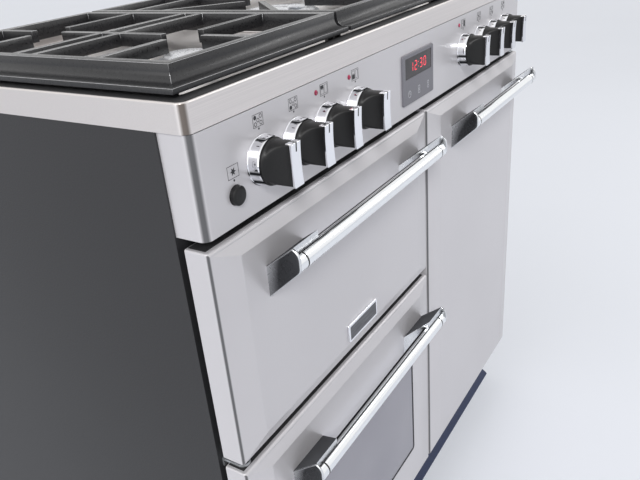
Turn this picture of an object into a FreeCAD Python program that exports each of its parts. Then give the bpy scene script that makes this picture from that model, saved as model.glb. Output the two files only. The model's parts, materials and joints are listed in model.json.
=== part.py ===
"""Range cooker with a five-burner hob, a grill oven, a windowed oven and a tall oven.

Frame: X to the right along the front, Y from the front to the wall, Z up.
The origin is on the floor, in the middle of the overall box. Lengths are millimetres.
"""
import FreeCAD, Part
import math
import os
import re

import Sketcher
from FreeCAD import Rotation, Vector

# Driving dimensions: name, value, meaning.
DIMENSIONS = (
    # overall
    ("body_width", 900, "overall width"),
    ("body_depth", 600, "door front to the rear of the cabinet"),
    ("hob_height", 905, "floor to the top of the hob trim"),
    ("handle_reach", 47, "door front to the nose of the handle"),
    ("sheet", 1.5, "thickness of folded sheet"),
    ("plate", 2, "thickness of structural sheet"),
    ("seat", 0.3, "gap between neighbouring loose pieces"),
    # front layout
    ("trim_height", 27, "height of the hob trim"),
    ("panel_height", 100, "height of the control panel"),
    ("panel_gap", 10, "gap between the control panel and the doors"),
    ("panel_depth", 45, "depth of the control panel's side returns"),
    ("panel_inset", 2, "step from the cabinet side to the control panel"),
    ("corner_radius", 9, "vertical corner radius of the trim and the panel"),
    ("left_door_width", 475, "width of the two left doors"),
    ("tall_door_width", 420, "width of the tall door"),
    ("grill_door_height", 253, "height of the upper left door"),
    ("door_row_gap", 12.5, "gap between the upper and the lower left door"),
    ("door_base", 116, "floor to the bottom of the doors"),
    ("frame_setback", 37, "door front to the face of the front frame"),
    ("side_flange", 22, "width of the side panels' folded flanges"),
    # doors
    ("door_depth", 28, "depth of a door skin at its edges"),
    ("field_rise", 5, "rise of the flat field above the door's edge"),
    ("bevel_side", 39, "width of the bevel along the door's sides"),
    ("bevel_end", 18, "width of the bevel along the door's top and bottom"),
    ("door_edge_radius", 4, "radius round the front of a door"),
    ("window_left", 71, "door edge to the window"),
    ("window_width", 332, "width of the window"),
    ("window_base", 86, "door bottom to the window"),
    ("window_height", 205, "height of the window"),
    ("window_radius", 6, "corner radius of the window"),
    ("inner_pane_lap", 10, "lap of the inner pane behind the door liner"),
    ("plug_depth", 5, "depth of the plug behind the liner's border"),
    # handles
    ("handle_inset", 73, "left door edge to the handle's left end"),
    ("handle_end_inset", 33, "door edge to a handle's right end"),
    ("tall_handle_inset", 82, "tall door edge to its handle's left end"),
    ("handle_row", 276, "drop from the upper handle to the lower one"),
    ("bar_drop", 41, "door top to the handle bar's axis"),
    ("bar_reach", 37, "door front to the handle bar's axis"),
    ("bar_diameter", 19.8, "diameter of the handle bar"),
    ("bar_groove_inset", 15, "handle's end to the groove in its bar"),
    ("bar_groove", 1.2, "width of that groove"),
    ("arm_plate", 2.5, "thickness of the end plate of a handle arm"),
    ("arm_length", 43, "length of a handle arm along the bar, at its nose"),
    ("arm_flare", 24, "growth of that length towards the door"),
    ("arm_high", 46.5, "door top to the top of an arm's foot"),
    ("arm_low", 83, "door top to the bottom of an arm's foot"),
    ("arm_crest_reach", 38.8, "door front to the crest of an arm"),
    ("arm_crest_drop", 20.9, "door top to the crest of an arm"),
    ("arm_nose", 13, "radius between the crest and the nose of an arm"),
    ("arm_nose_drop", 33, "door top to the end of that radius"),
    ("arm_chin_reach", 43.6, "door front to the chin of an arm"),
    ("arm_chin_drop", 48.4, "door top to the chin of an arm"),
    ("badge_left", 216, "door edge to the badge plate"),
    ("badge_low", 231, "door top to the bottom of the badge plate"),
    ("badge_width", 76, "width of the badge plate"),
    ("badge_height", 26, "height of the badge plate"),
    # hinges
    ("hinge_offset", 14, "door edge to a side-hinged door's axis"),
    ("drop_hinge_height", 12, "door bottom to the drop-down door's axis"),
    ("drop_hinge_depth", 16, "door front to the drop-down door's axis"),
    ("hinge_plate", 3, "thickness of a hinge plate"),
    ("hinge_pin", 8, "diameter of a hinge pin"),
    ("pin_clearance", 0.05, "radial clearance round a hinge pin"),
    ("hinge_block", 22, "width of the block that a hinge pin turns in"),
    # ovens
    ("oven_width", 390, "inner width of the left ovens"),
    ("tall_oven_width", 334, "inner width of the tall oven"),
    ("oven_depth", 430, "inner depth of the ovens"),
    ("grill_oven_base", 556, "floor to the grill oven's floor"),
    ("grill_oven_height", 172, "inner height of the grill oven"),
    ("main_oven_base", 156, "floor to the lower ovens' floor"),
    ("main_oven_height", 306, "inner height of the windowed oven"),
    ("tall_oven_height", 572, "inner height of the tall oven"),
    ("oven_corner", 16, "corner radius of the oven linings"),
    ("rail_width", 7, "width of a shelf rail"),
    ("rail_height", 4, "height of a shelf rail"),
    ("rail_first", 50, "oven floor to the lowest shelf rail"),
    ("rail_step", 62, "distance between shelf rails"),
    ("rail_first_grill", 70, "grill oven floor to its rail"),
    ("rack_wire", 3, "diameter of a thin shelf rod"),
    ("element_pitch", 56, "distance between the grill element's runs"),
    ("element_diameter", 7, "diameter of the grill element"),
    ("element_drop", 16, "oven ceiling to the grill element"),
    # fans
    ("fan_diameter", 150, "diameter of an oven fan"),
    ("fan_width", 20, "width of an oven fan"),
    ("fan_shaft", 8, "diameter of a fan shaft"),
    ("fan_port_clearance", 8, "fan shaft's diameter to that of its hole in the lining"),
    ("motor_diameter", 78, "diameter of a fan motor"),
    ("motor_length", 52, "length of a fan motor"),
    # hob
    ("hob_sink", 13, "trim top to the hob plate"),
    ("support_top", 25, "trim top to the top of the pan supports"),
    ("ledge_top", 9, "trim top to the top of the support's ledge"),
    ("ledge_thickness", 5, "thickness of the support's ledge"),
    ("ledge_width", 18, "width of the support's ledge in front of its rail"),
    ("support_inset", 8, "cabinet side to the pan supports"),
    ("support_front", 15, "door front to the pan supports"),
    ("support_gap", 6, "gap between two pan supports"),
    ("support_depth", 452, "depth of the pan supports"),
    ("rail_bar", 11, "thickness of the pan supports' rails"),
    ("cove_radius", 9, "radius between the rail and the ledge"),
    ("finger_width", 8, "width of a pan support finger"),
    ("finger_height", 14, "height of a pan support finger"),
    ("finger_reach", 28, "burner axis to the tip of a finger"),
    ("bridge_spread", 29, "distance between the two middle bars of a pan support"),
    ("wok_finger_reach", 76, "reach of the slanted fingers beside the wok burner"),
    ("wok_finger_spread", 93, "wok burner axis to the root of a slanted finger"),
    ("front_burner_depth", 131, "door front to the front burners"),
    ("rear_burner_depth", 350, "door front to the rear burners"),
    ("wok_burner_depth", 221, "door front to the wok burner"),
    ("outer_burner_offset", 152, "cabinet side to the outer burners"),
    ("burner_diameter", 76, "diameter of a burner cup"),
    ("crown_diameter", 60, "diameter of a burner crown"),
    ("crown_height", 10, "height of a burner crown"),
    ("cap_diameter", 50, "diameter of a burner cap"),
    ("cap_height", 5, "height of a burner cap"),
    ("wok_diameter", 138, "diameter of the wok burner's cup"),
    ("wok_crown_diameter", 122, "diameter of the wok burner's crown"),
    ("wok_channel_diameter", 84, "inner diameter of the wok burner's outer crown"),
    ("wok_inner_diameter", 46, "diameter of the wok burner's inner crown"),
    ("wok_cap_diameter", 36, "diameter of the wok burner's inner cap"),
    ("wok_lift", 2, "rise of the wok burner's inner crown above the outer one"),
    ("plate_ring", 2, "height of the raised ring round a burner"),
    ("cup_rim", 4.5, "hob plate to the top of a burner cup"),
    ("flame_slot", 1.8, "width of a flame slot"),
    ("slot_base", 3, "crown bottom to the flame slots"),
    ("slot_depth", 5, "depth of a flame slot"),
    ("rear_trim_depth", 96, "depth of the vent cover behind the hob"),
    # control panel
    ("knob_spacing", 59, "distance between neighbouring knobs"),
    ("knob_first", 355, "panel centre to the outermost knob"),
    ("knob_inner", 169, "panel centre to the innermost knob"),
    ("knob_height", 47.5, "panel bottom to the knobs' axes"),
    ("bezel_diameter", 50, "diameter of a knob bezel"),
    ("bezel_bore", 46.8, "bore of a knob bezel"),
    ("bezel_depth", 13, "depth of a knob bezel"),
    ("knob_diameter", 45.8, "diameter of a knob"),
    ("knob_depth", 41, "panel front to the knob's nose"),
    ("grip_width", 15, "width of a knob's grip"),
    ("strip_height", 43, "height of the bright strip on a grip"),
    ("strip_depth", 3, "depth of that strip"),
    ("strip_fold", 8, "length of the strip along the top of the grip"),
    ("strip_margin", 0.6, "grip's side to the strip"),
    ("pointer_width", 2.2, "width of the pointer slot in a strip"),
    ("pointer_length", 9, "length of the pointer slot in a strip"),
    ("scoop", 26, "radius of the scoops beside a knob's grip"),
    ("spindle_diameter", 8, "diameter of a knob spindle"),
    ("clock_width", 98, "width of the clock frame"),
    ("clock_height", 66, "height of the clock frame"),
    ("clock_base", 15, "panel bottom to the clock frame"),
    ("clock_depth", 30, "depth of the clock housing behind the panel"),
    ("clock_proud", 2.5, "height of the clock frame above the panel"),
    ("display_width", 83, "width of the clock display"),
    ("display_height", 27, "height of the clock display"),
    ("button_inset", 50, "cabinet side to the ignition button"),
    ("button_height", 28.5, "panel bottom to the ignition button"),
    ("button_diameter", 19, "diameter of the ignition button"),
    ("button_proud", 6, "height of the ignition button above the panel"),
    ("button_stem", 6, "diameter of the ignition button's stem"),
    ("neon_diameter", 5.5, "diameter of a neon lens"),
    ("neon_height", 86.5, "panel bottom to the neon lenses"),
    ("neon_first", 253, "panel centre to the outer neon on the left"),
    ("neon_second", 183, "panel centre to the inner neon on the left"),
    ("neon_third", 152, "panel centre to the neon on the right"),
    # base
    ("plinth_setback", 60, "door front to the plinth"),
    ("foot_diameter", 46, "diameter of a levelling foot"),
    ("foot_inset", 70, "cabinet side to a levelling foot"),
    ("base_height", 62, "floor to the base tray"),
    ("base_flange", 44, "height of the base tray's flanges"),
    # services
    ("gas_pipe", 14, "diameter of the gas rail"),
    ("inlet_thread", 21, "diameter of the gas inlet's thread"),
    ("inlet_length", 14, "length of the gas inlet's thread"),
    ("inlet_inset", 60, "cabinet side to the gas inlet"),
    ("inlet_drop", 75, "hob top to the gas rail"),
    ("vent_slot_width", 5, "width of a vent slot"),
    ("vent_slot_length", 46, "length of a vent slot"),
)

WORD = re.compile(r"[a-z][a-z_]*")

doc = FreeCAD.newDocument("RangeCooker")
sheet = doc.addObject("Spreadsheet::Sheet", "Dims")
for row, (alias, size, meaning) in enumerate(DIMENSIONS, start=1):
    sheet.set(f"A{row}", meaning)
    sheet.set(f"B{row}", str(size))
    sheet.setAlias(f"B{row}", alias)
doc.recompute()
SIZES = {alias: sheet.get(alias) for alias, size, meaning in DIMENSIONS}


# ---------------------------------------------------------------- expressions

def with_names(text, write):
    """The expression with each dimension name written another way."""
    return WORD.sub(lambda word: write(word.group()) if word.group() in SIZES else word.group(), str(text))


def formula(text):
    """The expression as the sheet's aliases."""
    return with_names(text, lambda name: f"Dims.{name}")


def number(text):
    """The value that the same expression has now."""
    return FreeCAD.Units.Quantity(with_names(text, lambda name: f"({SIZES[name]})")).Value


def bind(item, name, text):
    item.setExpression(name, formula(text))


def place(item, across="0", deep="0", up="0"):
    """Tie an object's place to the sheet."""
    bind(item, "Placement.Base.x", across)
    bind(item, "Placement.Base.y", deep)
    bind(item, "Placement.Base.z", up)
    return item


# Places that several pieces share, all from the driving dimensions.
LEFT = "(-body_width/2)"
RIGHT = "(body_width/2)"
FRONT = "((handle_reach - body_depth)/2)"
REAR = "((handle_reach + body_depth)/2)"
FRAME = f"({FRONT} + frame_setback)"
PANEL_BASE = "(hob_height - trim_height - panel_height)"
PANEL_TOP = "(hob_height - trim_height)"
DOOR_TOP = "(hob_height - trim_height - panel_height - panel_gap)"
GRILL_DOOR_BASE = f"({DOOR_TOP} - grill_door_height)"
MAIN_DOOR_HEIGHT = f"({GRILL_DOOR_BASE} - door_row_gap - door_base)"
TALL_DOOR_HEIGHT = f"({DOOR_TOP} - door_base)"
TALL_DOOR_LEFT = f"({RIGHT} - tall_door_width)"
LEFT_OVEN_CENTRE = f"({LEFT} + left_door_width/2)"
TALL_OVEN_CENTRE = f"({RIGHT} - tall_door_width/2)"
OVEN_FRONT = f"({FRAME} + plate)"
OVEN_REAR = f"({OVEN_FRONT} + oven_depth)"
HOB_PLATE_TOP = "(hob_height - hob_sink)"
WOK_DEPTH = f"({FRONT} + wok_burner_depth)"
KNOB_LEVEL = f"({PANEL_BASE} + knob_height)"
ELEMENT_LEVEL = "(grill_oven_base + grill_oven_height - element_drop)"
FAN_LEVEL = "(main_oven_base + main_oven_height/2)"


# ---------------------------------------------------------------- sketches

def draw_path(corners, closed):
    """Lines and arcs through the corners; a third value is the signed radius of the arc that arrives there."""
    def draw(sketch):
        base = sketch.GeometryCount
        spots = [Vector(number(corner[0]), number(corner[1]), 0) for corner in corners]
        steps = range(len(corners)) if closed else range(1, len(corners))
        ends = []
        for index in steps:
            start, end = spots[index - 1], spots[index]
            if len(corners[index]) == 2:
                sketch.addGeometry(Part.LineSegment(start, end))
                ends.append((1, 2))
                continue
            radius = number(corners[index][2])
            chord = end - start
            reach = math.sqrt(max(radius ** 2 - (chord.Length / 2) ** 2, 0))
            normal = Vector(-chord.y, chord.x, 0).normalize() * math.copysign(reach, radius)
            centre = (start + end) * 0.5 + normal
            first, last = (start, end) if radius > 0 else (end, start)
            from_angle = math.atan2(first.y - centre.y, first.x - centre.x)
            to_angle = math.atan2(last.y - centre.y, last.x - centre.x)
            circle = Part.Circle(centre, Vector(0, 0, 1), abs(radius))
            sketch.addGeometry(Part.ArcOfCircle(circle, from_angle, to_angle))
            ends.append((1, 2) if radius > 0 else (2, 1))
        count = len(ends)
        for index in range(count if closed else count - 1):
            after = (index + 1) % count
            sketch.addConstraint(Sketcher.Constraint(
                "Coincident", base + index, ends[index][1], base + after, ends[after][0]))
        if not closed:
            pin(sketch, (base, ends[0][0]), corners[0])
        for index, step in enumerate(steps):
            pin(sketch, (base + index, ends[index][1]), corners[step])
            if len(corners[step]) == 3:
                hold_arc(sketch, base + index, corners[step - 1], corners[step])
    return draw


def hold_arc(sketch, arc, start, end):
    """Fix an arc between two held ends: by its radius, or a half circle by its centre."""
    along_x, along_y = (number(f"({end[axis]}) - ({start[axis]})") for axis in (0, 1))
    if abs(math.hypot(along_x, along_y) - 2 * abs(number(end[2]))) > 0.001:
        size_constraint(sketch, "Radius", (arc,), str(end[2]).lstrip("-"))
    elif abs(along_x) > abs(along_y):
        size_constraint(sketch, "DistanceY", (-1, 1, arc, 3), f"(({start[1]}) + ({end[1]}))/2")
    else:
        size_constraint(sketch, "DistanceX", (-1, 1, arc, 3), f"(({start[0]}) + ({end[0]}))/2")


def draw_polygon(*corners):
    return draw_path(corners, True)


def pin(sketch, spot, corner):
    size_constraint(sketch, "DistanceX", (-1, 1) + spot, corner[0])
    size_constraint(sketch, "DistanceY", (-1, 1) + spot, corner[1])


def size_constraint(sketch, kind, where, text):
    index = sketch.addConstraint(Sketcher.Constraint(kind, *where, number(text)))
    sketch.setExpression(f"Constraints[{index}]", formula(text))


def draw_rectangle(left, low, right, high):
    return draw_polygon((left, low), (right, low), (right, high), (left, high))


def draw_rounded(left, low, right, high, radius):
    """Rectangle with four round corners."""
    return draw_polygon(
        (f"{left} + {radius}", low, radius),
        (f"{right} - {radius}", low),
        (right, f"{low} + {radius}", radius),
        (right, f"{high} - {radius}"),
        (f"{right} - {radius}", high, radius),
        (f"{left} + {radius}", high),
        (left, f"{high} - {radius}", radius),
        (left, f"{low} + {radius}"),
    )


def draw_circle(across, up, diameter):
    def draw(sketch):
        index = sketch.GeometryCount
        centre = Vector(number(across), number(up), 0)
        sketch.addGeometry(Part.Circle(centre, Vector(0, 0, 1), number(diameter) / 2))
        size_constraint(sketch, "DistanceX", (-1, 1, index, 3), across)
        size_constraint(sketch, "DistanceY", (-1, 1, index, 3), up)
        size_constraint(sketch, "Diameter", (index,), diameter)
    return draw


# ---------------------------------------------------------------- bodies

def new_body(label):
    body = doc.addObject("PartDesign::Body", label)
    body.Label = label
    return body


def origin_feature(body, role):
    return next(feature for feature in body.Origin.OriginFeatures if feature.Role == role)


def new_sketch(body, plane, offset, outlines):
    sketch = body.newObject("Sketcher::SketchObject", "Outline")
    sketch.AttachmentSupport = [(origin_feature(body, plane + "_Plane"), "")]
    sketch.MapMode = "FlatFace"
    bind(sketch, "AttachmentOffset.Base.z", offset)
    for draw in outlines:
        draw(sketch)
    return sketch


def pad(body, plane, start, end, *outlines):
    """Material from start to end along the plane's axis."""
    offset = f"0 - ({end})" if plane == "XZ" else start
    feature = body.newObject("PartDesign::Pad", "Pad")
    feature.Profile = new_sketch(body, plane, offset, outlines)
    bind(feature, "Length", f"({end}) - ({start})")
    return feature


def pocket(body, plane, start, end, *outlines):
    """A cut from start to end along the plane's axis; it must take material away."""
    offset = f"0 - ({start})" if plane == "XZ" else end
    doc.recompute()
    before = body.Shape.Volume
    feature = body.newObject("PartDesign::Pocket", "Pocket")
    feature.Profile = new_sketch(body, plane, offset, outlines)
    bind(feature, "Length", f"({end}) - ({start})")
    doc.recompute()
    if body.Shape.Volume > before - 0.01:
        raise RuntimeError(f"{body.Label}: a pocket from {start} to {end} cuts nothing")
    return feature


def revolve(body, *outlines):
    """A solid of revolution about the body's Z axis, from an outline in its XZ plane."""
    feature = body.newObject("PartDesign::Revolution", "Revolution")
    feature.Profile = new_sketch(body, "XZ", "0", outlines)
    feature.ReferenceAxis = (origin_feature(body, "Z_Axis"), [""])
    feature.Angle = 360
    return feature


def loft(body, kind, plane, sections):
    """A ruled loft through (offset, outline) sections."""
    sketches = [new_sketch(body, plane, offset, [draw]) for offset, draw in sections]
    feature = body.newObject(f"PartDesign::{kind}", "Loft")
    feature.Profile = sketches[0]
    feature.Sections = sketches[1:]
    feature.Ruled = True
    return feature


def linear_pattern(body, feature, axis, length, count):
    pattern = body.newObject("PartDesign::LinearPattern", "Row")
    pattern.Originals = [feature]
    pattern.Direction = (origin_feature(body, axis + "_Axis"), [""])
    bind(pattern, "Length", length)
    pattern.Occurrences = count
    body.Tip = pattern
    return pattern


def polar_pattern(body, feature, axis, count):
    pattern = body.newObject("PartDesign::PolarPattern", "Ring")
    pattern.Originals = [feature]
    pattern.Axis = (origin_feature(body, axis + "_Axis"), [""])
    pattern.Angle = 360
    pattern.Occurrences = count
    body.Tip = pattern
    return pattern


def edges_where(shape, test):
    """Names of the edges whose middle point passes the test."""
    names = []
    for index, edge in enumerate(shape.Edges, start=1):
        middle = edge.valueAt((edge.FirstParameter + edge.LastParameter) / 2)
        if test(edge, middle):
            names.append(f"Edge{index}")
    return names


def soften(body, kind, size, test):
    """Fillet or chamfer the edges that pass the test, in the body's own frame."""
    doc.recompute()
    base = body.Tip
    names = edges_where(base.Shape, test)
    if not names:
        raise RuntimeError(f"{body.Label}: no edge to {kind}")
    feature = body.newObject(f"PartDesign::{kind}", kind)
    feature.Base = (base, names)
    bind(feature, "Radius" if kind == "Fillet" else "Size", size)
    doc.recompute()
    return feature


def near(value, text, reach=0.05):
    return abs(value - number(text)) < reach


def along(edge, axis):
    """Is the edge straight and parallel to the axis?"""
    if not isinstance(edge.Curve, Part.Line):
        return False
    return abs(abs(edge.Curve.Direction.dot(axis)) - 1) < 1e-6


def group(label, *items):
    """One node that holds several identical or matching solids."""
    compound = doc.addObject("Part::Compound", label)
    compound.Label = label
    compound.Links = list(items)
    return compound


NODES = []


def node(item):
    NODES.append(item)
    return item


X_AXIS = Vector(1, 0, 0)
Y_AXIS = Vector(0, 1, 0)
Z_AXIS = Vector(0, 0, 1)


# ---------------------------------------------------------------- cabinet

def base_frame():
    """Folded tray that carries the ovens and stands on the feet."""
    body = new_body("base_frame")
    left, right = f"{LEFT} + plate", f"{RIGHT} - plate"
    front, rear = f"{FRONT} + plinth_setback + plate", f"{REAR} - 2*plate"
    pad(body, "XY", "base_height", "base_height + base_flange", draw_rectangle(left, front, right, rear))
    pocket(body, "XY", "base_height + plate", "base_height + base_flange",
           draw_rectangle(f"{left} + plate", f"{front} + plate", f"{right} - plate", f"{rear} - plate"))
    slot = pocket(body, "XY", "base_height", "base_height + plate",
                  draw_rounded("0 - body_width/3", "0 - vent_slot_length",
                               "0 - body_width/3 + vent_slot_width*2", "vent_slot_length",
                               "vent_slot_width*0.9"))
    linear_pattern(body, slot, "X", "body_width*0.62", 7)
    return node(body)


def levelling_feet():
    """Four screw feet: a round pad, a stud and a hexagon nut under the tray."""
    feet = []
    for side, across in (("left", f"{LEFT} + foot_inset"), ("right", f"{RIGHT} - foot_inset")):
        for row, deep in (("front", f"{FRONT} + plinth_setback + foot_inset*0.6"),
                          ("rear", f"{REAR} - foot_inset")):
            body = new_body(f"foot_{row}_{side}")
            revolve(body, draw_polygon(("0", "0"), ("foot_diameter/2", "0"), ("foot_diameter/2", "8"),
                                       ("12", "14"), ("6", "14"), ("6", "base_height"), ("0", "base_height")))
            pad(body, "XY", "base_height - 10", "base_height",
                draw_polygon(("11", "0"), ("5.5", "9.526"), ("-5.5", "9.526"),
                             ("-11", "0"), ("-5.5", "-9.526"), ("5.5", "-9.526")))
            feet.append(place(body, across, deep))
    return node(group("levelling_feet", *feet))


def plinth():
    """Recessed kick panel with a folded lip along its top and bottom."""
    body = new_body("plinth")
    face = f"{FRONT} + plinth_setback"
    lip, low, high = "14", "10", "base_height + base_flange"
    pad(body, "YZ", f"{LEFT} + plate + 1", f"{RIGHT} - plate - 1",
        draw_polygon((face, low), (f"{face} + {lip}", low), (f"{face} + {lip}", f"{low} + sheet"),
                     (f"{face} + sheet", f"{low} + sheet"), (f"{face} + sheet", high), (face, high)))
    return node(body)


def side_panel(label, outer, sense):
    """Folded side wall: a flange turned in at the front, up to the control panel, and one at the rear."""
    body = new_body(label)
    inner = f"{outer} + ({sense})*plate"
    tip = f"{outer} + ({sense})*side_flange"
    front, rear = FRAME, f"{REAR} - plate"
    corners = [(outer, front), (tip, front), (tip, f"{front} + plate"), (inner, f"{front} + plate"),
               (inner, f"{rear} - plate"), (tip, f"{rear} - plate"), (tip, rear), (outer, rear)]
    pad(body, "XY", "base_height", PANEL_TOP, draw_polygon(*corners))
    beyond = f"{tip} + ({sense})*1"
    pocket(body, "XY", f"{PANEL_BASE} - seat", PANEL_TOP,
           draw_polygon((inner, f"{front} - 1"), (beyond, f"{front} - 1"),
                        (beyond, f"{front} + plate"), (inner, f"{front} + plate")))
    return node(body)


def back_panel():
    """Rear sheet with pressed ribs, a row of vent slots and the hole for the gas inlet."""
    body = new_body("back_panel")
    front = f"{REAR} - plate"
    pad(body, "XZ", front, REAR, draw_rectangle(f"{LEFT} + 1", "base_height", f"{RIGHT} - 1", PANEL_TOP))
    rib = pad(body, "XZ", f"{front} - 4", front,
              draw_rounded(f"{LEFT} + 110", "180", f"{LEFT} + 134", "640", "11"))
    linear_pattern(body, rib, "X", "body_width - 244", 5)
    slot = pocket(body, "XZ", f"{front}", REAR,
                  draw_rounded(f"{LEFT} + 130", "700", f"{LEFT} + 130 + vent_slot_width*1.6",
                               "700 + vent_slot_length", "vent_slot_width*0.75"))
    linear_pattern(body, slot, "X", "body_width*0.5", 24)
    pocket(body, "XZ", front, REAR,
           draw_circle(f"{RIGHT} - inlet_inset", "hob_height - inlet_drop", "inlet_thread*1.9"))
    return node(body)


def oven_mouths():
    """Centre, half width, floor and height of each oven's mouth."""
    return (
        ("grill", LEFT_OVEN_CENTRE, "oven_width/2", "grill_oven_base", "grill_oven_height"),
        ("main", LEFT_OVEN_CENTRE, "oven_width/2", "main_oven_base", "main_oven_height"),
        ("tall", TALL_OVEN_CENTRE, "tall_oven_width/2", "main_oven_base", "tall_oven_height"),
    )


def front_frame():
    """Enamelled front frame, stamped with the three oven mouths."""
    body = new_body("front_frame")
    pad(body, "XZ", FRAME, OVEN_FRONT,
        draw_rectangle(f"{LEFT} + side_flange + seat", "base_height + base_flange + seat",
                       f"{RIGHT} - side_flange - seat", f"{PANEL_BASE} - seat"))
    for name, centre, half, floor, height in oven_mouths():
        pocket(body, "XZ", FRAME, OVEN_FRONT,
               draw_rounded(f"{centre} - {half}", floor, f"{centre} + {half}", f"{floor} + {height}",
                            "oven_corner"))
    return node(body)


def oven_liner(name, centre, half, floor, height, rails, ports):
    """Pressed oven lining, open at the front, with shelf rails on its side walls and ports in its rear wall."""
    body = new_body(f"{name}_oven_liner")
    left, right = f"{centre} - {half}", f"{centre} + {half}"
    ceiling = f"{floor} + {height}"
    pad(body, "XZ", OVEN_FRONT, f"{OVEN_REAR} + sheet",
        draw_rounded(f"{left} - sheet", f"{floor} - sheet", f"{right} + sheet", f"{ceiling} + sheet",
                     "(oven_corner + sheet)"))
    pad(body, "XZ", OVEN_FRONT, f"{OVEN_FRONT} + sheet",
        draw_rounded(f"{left} - 12", f"{floor} - 12", f"{right} + 12", f"{ceiling} + 12",
                     "(oven_corner + 8)"))
    pocket(body, "XZ", OVEN_FRONT, OVEN_REAR, draw_rounded(left, floor, right, ceiling, "oven_corner"))
    first, step, count = rails
    low, high = f"{floor} + {first}", f"{floor} + {first} + rail_height"
    rail = pad(body, "XZ", f"{OVEN_FRONT} + 18", f"{OVEN_REAR} - 30",
               draw_rectangle(left, low, f"{left} + rail_width", high),
               draw_rectangle(f"{right} - rail_width", low, right, high))
    if count > 1:
        linear_pattern(body, rail, "Z", f"{step}*{count - 1}", count)
    if ports:
        pocket(body, "XZ", OVEN_REAR, f"{OVEN_REAR} + sheet", *[draw_circle(*port) for port in ports])
    return node(body)


def door_seals():
    """Soft profile round each oven mouth, on the face of the front frame."""
    seals = []
    for name, centre, half, floor, height in oven_mouths():
        body = new_body(f"seal_{name}")
        low, high = f"{floor} - 2", f"{floor} + {height} + 2"
        left, right = f"{centre} - {half} - 2", f"{centre} + {half} + 2"
        pad(body, "XZ", f"{FRAME} - 7.5", FRAME,
            draw_rounded(f"{left} - 8", f"{low} - 8", f"{right} + 8", f"{high} + 8", "(oven_corner + 10)"),
            draw_rounded(left, low, right, high, "(oven_corner + 2)"))
        seals.append(body)
    return node(group("door_seals", *seals))


# ---------------------------------------------------------------- oven fittings

def oven_fan(centre, level):
    """Paddle wheel on its shaft; the shaft runs back into the motor."""
    body = new_body("main_oven_fan")
    hub = f"{OVEN_REAR} - 8 - fan_width"
    pad(body, "XZ", hub, f"{OVEN_REAR} - 8", draw_circle("0", "0", "fan_shaft + 10"))
    pad(body, "XZ", f"{OVEN_REAR} - 8 - sheet", f"{OVEN_REAR} - 8", draw_circle("0", "0", "fan_diameter"))
    blade = pad(body, "XZ", hub, f"{OVEN_REAR} - 8 - sheet",
                draw_rectangle("fan_diameter*0.24", "0", "fan_diameter*0.48", "1.4"))
    polar_pattern(body, blade, "Y", 12)
    pad(body, "XZ", f"{OVEN_REAR} - 8", f"{OVEN_REAR} + sheet + 16", draw_circle("0", "0", "fan_shaft"))
    return node(place(body, centre, "0", level))


def fan_motor(centre, level):
    """Motor can behind the lining, with a bearing bore for the fan shaft and three fixing lugs."""
    body = new_body("fan_motor")
    front = f"{OVEN_REAR} + sheet"
    pad(body, "XZ", front, f"{front} + motor_length", draw_circle("0", "0", "motor_diameter"))
    lug = pad(body, "XZ", front, f"{front} + plate",
              draw_rounded("-7", "motor_diameter/2 - 6", "7", "motor_diameter/2 + 12", "5"))
    polar_pattern(body, lug, "Y", 3)
    pocket(body, "XZ", front, f"{front} + 20", draw_circle("0", "0", "fan_shaft + 2*pin_clearance"))
    soften(body, "Fillet", "4", lambda edge, mid: near(mid.y, f"{front} + motor_length"))
    return node(place(body, centre, "0", level))


def fan_cover(centre, level):
    """Baffle in front of the fan: a pressed tray with a round grille and side slots."""
    body = new_body("fan_cover")
    face = f"{OVEN_REAR} - 38"
    pad(body, "XZ", face, OVEN_REAR,
        draw_rounded("0 - fan_diameter*0.85", "0 - fan_diameter*0.7", "fan_diameter*0.85",
                     "fan_diameter*0.7", "12"))
    pocket(body, "XZ", f"{face} + sheet", OVEN_REAR,
           draw_rounded("0 - fan_diameter*0.85 + sheet", "0 - fan_diameter*0.7 + sheet",
                        "fan_diameter*0.85 - sheet", "fan_diameter*0.7 - sheet", "10.5"))
    hole = pocket(body, "XZ", face, f"{face} + sheet",
                  draw_rounded("18", "-5", "fan_diameter*0.33", "5", "4.5"))
    polar_pattern(body, hole, "Y", 12)
    slot = pocket(body, "XZ", face, f"{face} + sheet",
                  draw_rounded("0 - fan_diameter*0.78", "0 - fan_diameter*0.5",
                               "0 - fan_diameter*0.74", "0 - fan_diameter*0.2", "2.5"))
    linear_pattern(body, slot, "X", "fan_diameter*1.52", 2)
    return node(place(body, centre, "0", level))


def grill_element():
    """Grill heater: a serpentine tube under the grill oven's ceiling, its ends through the rear wall."""
    body = new_body("grill_element")
    near_end, far_end, exit_end = f"{OVEN_FRONT} + 60", f"{OVEN_REAR} - 50", f"{OVEN_REAR} + 14"
    lanes = element_lanes()
    corners = [(lanes[0], exit_end), (lanes[0], near_end)]
    for lane, across in enumerate(lanes[1:], start=1):
        # each odd lane is reached by a turn at the front and ends at the rear, each even lane the other way
        start, end, turn = (near_end, far_end, "") if lane % 2 else (far_end, near_end, "-")
        corners.append((across, start, f"{turn}element_pitch/2"))
        corners.append((across, exit_end if across is lanes[-1] else end))
    spine = new_sketch(body, "XY", "0", [draw_path(corners, False)])
    ring = new_sketch(body, "XZ", f"0 - ({exit_end})", [draw_circle(lanes[0], "0", "element_diameter")])
    tube = body.newObject("PartDesign::AdditivePipe", "Serpentine")
    tube.Profile = ring
    tube.Spine = spine
    tube.Transition = 0
    return node(place(body, LEFT_OVEN_CENTRE, "0", ELEMENT_LEVEL))


def element_lanes():
    """Six parallel runs of the grill element, from the oven's centre."""
    return [f"element_pitch*({lane} - 2.5)" for lane in range(6)]


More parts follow.
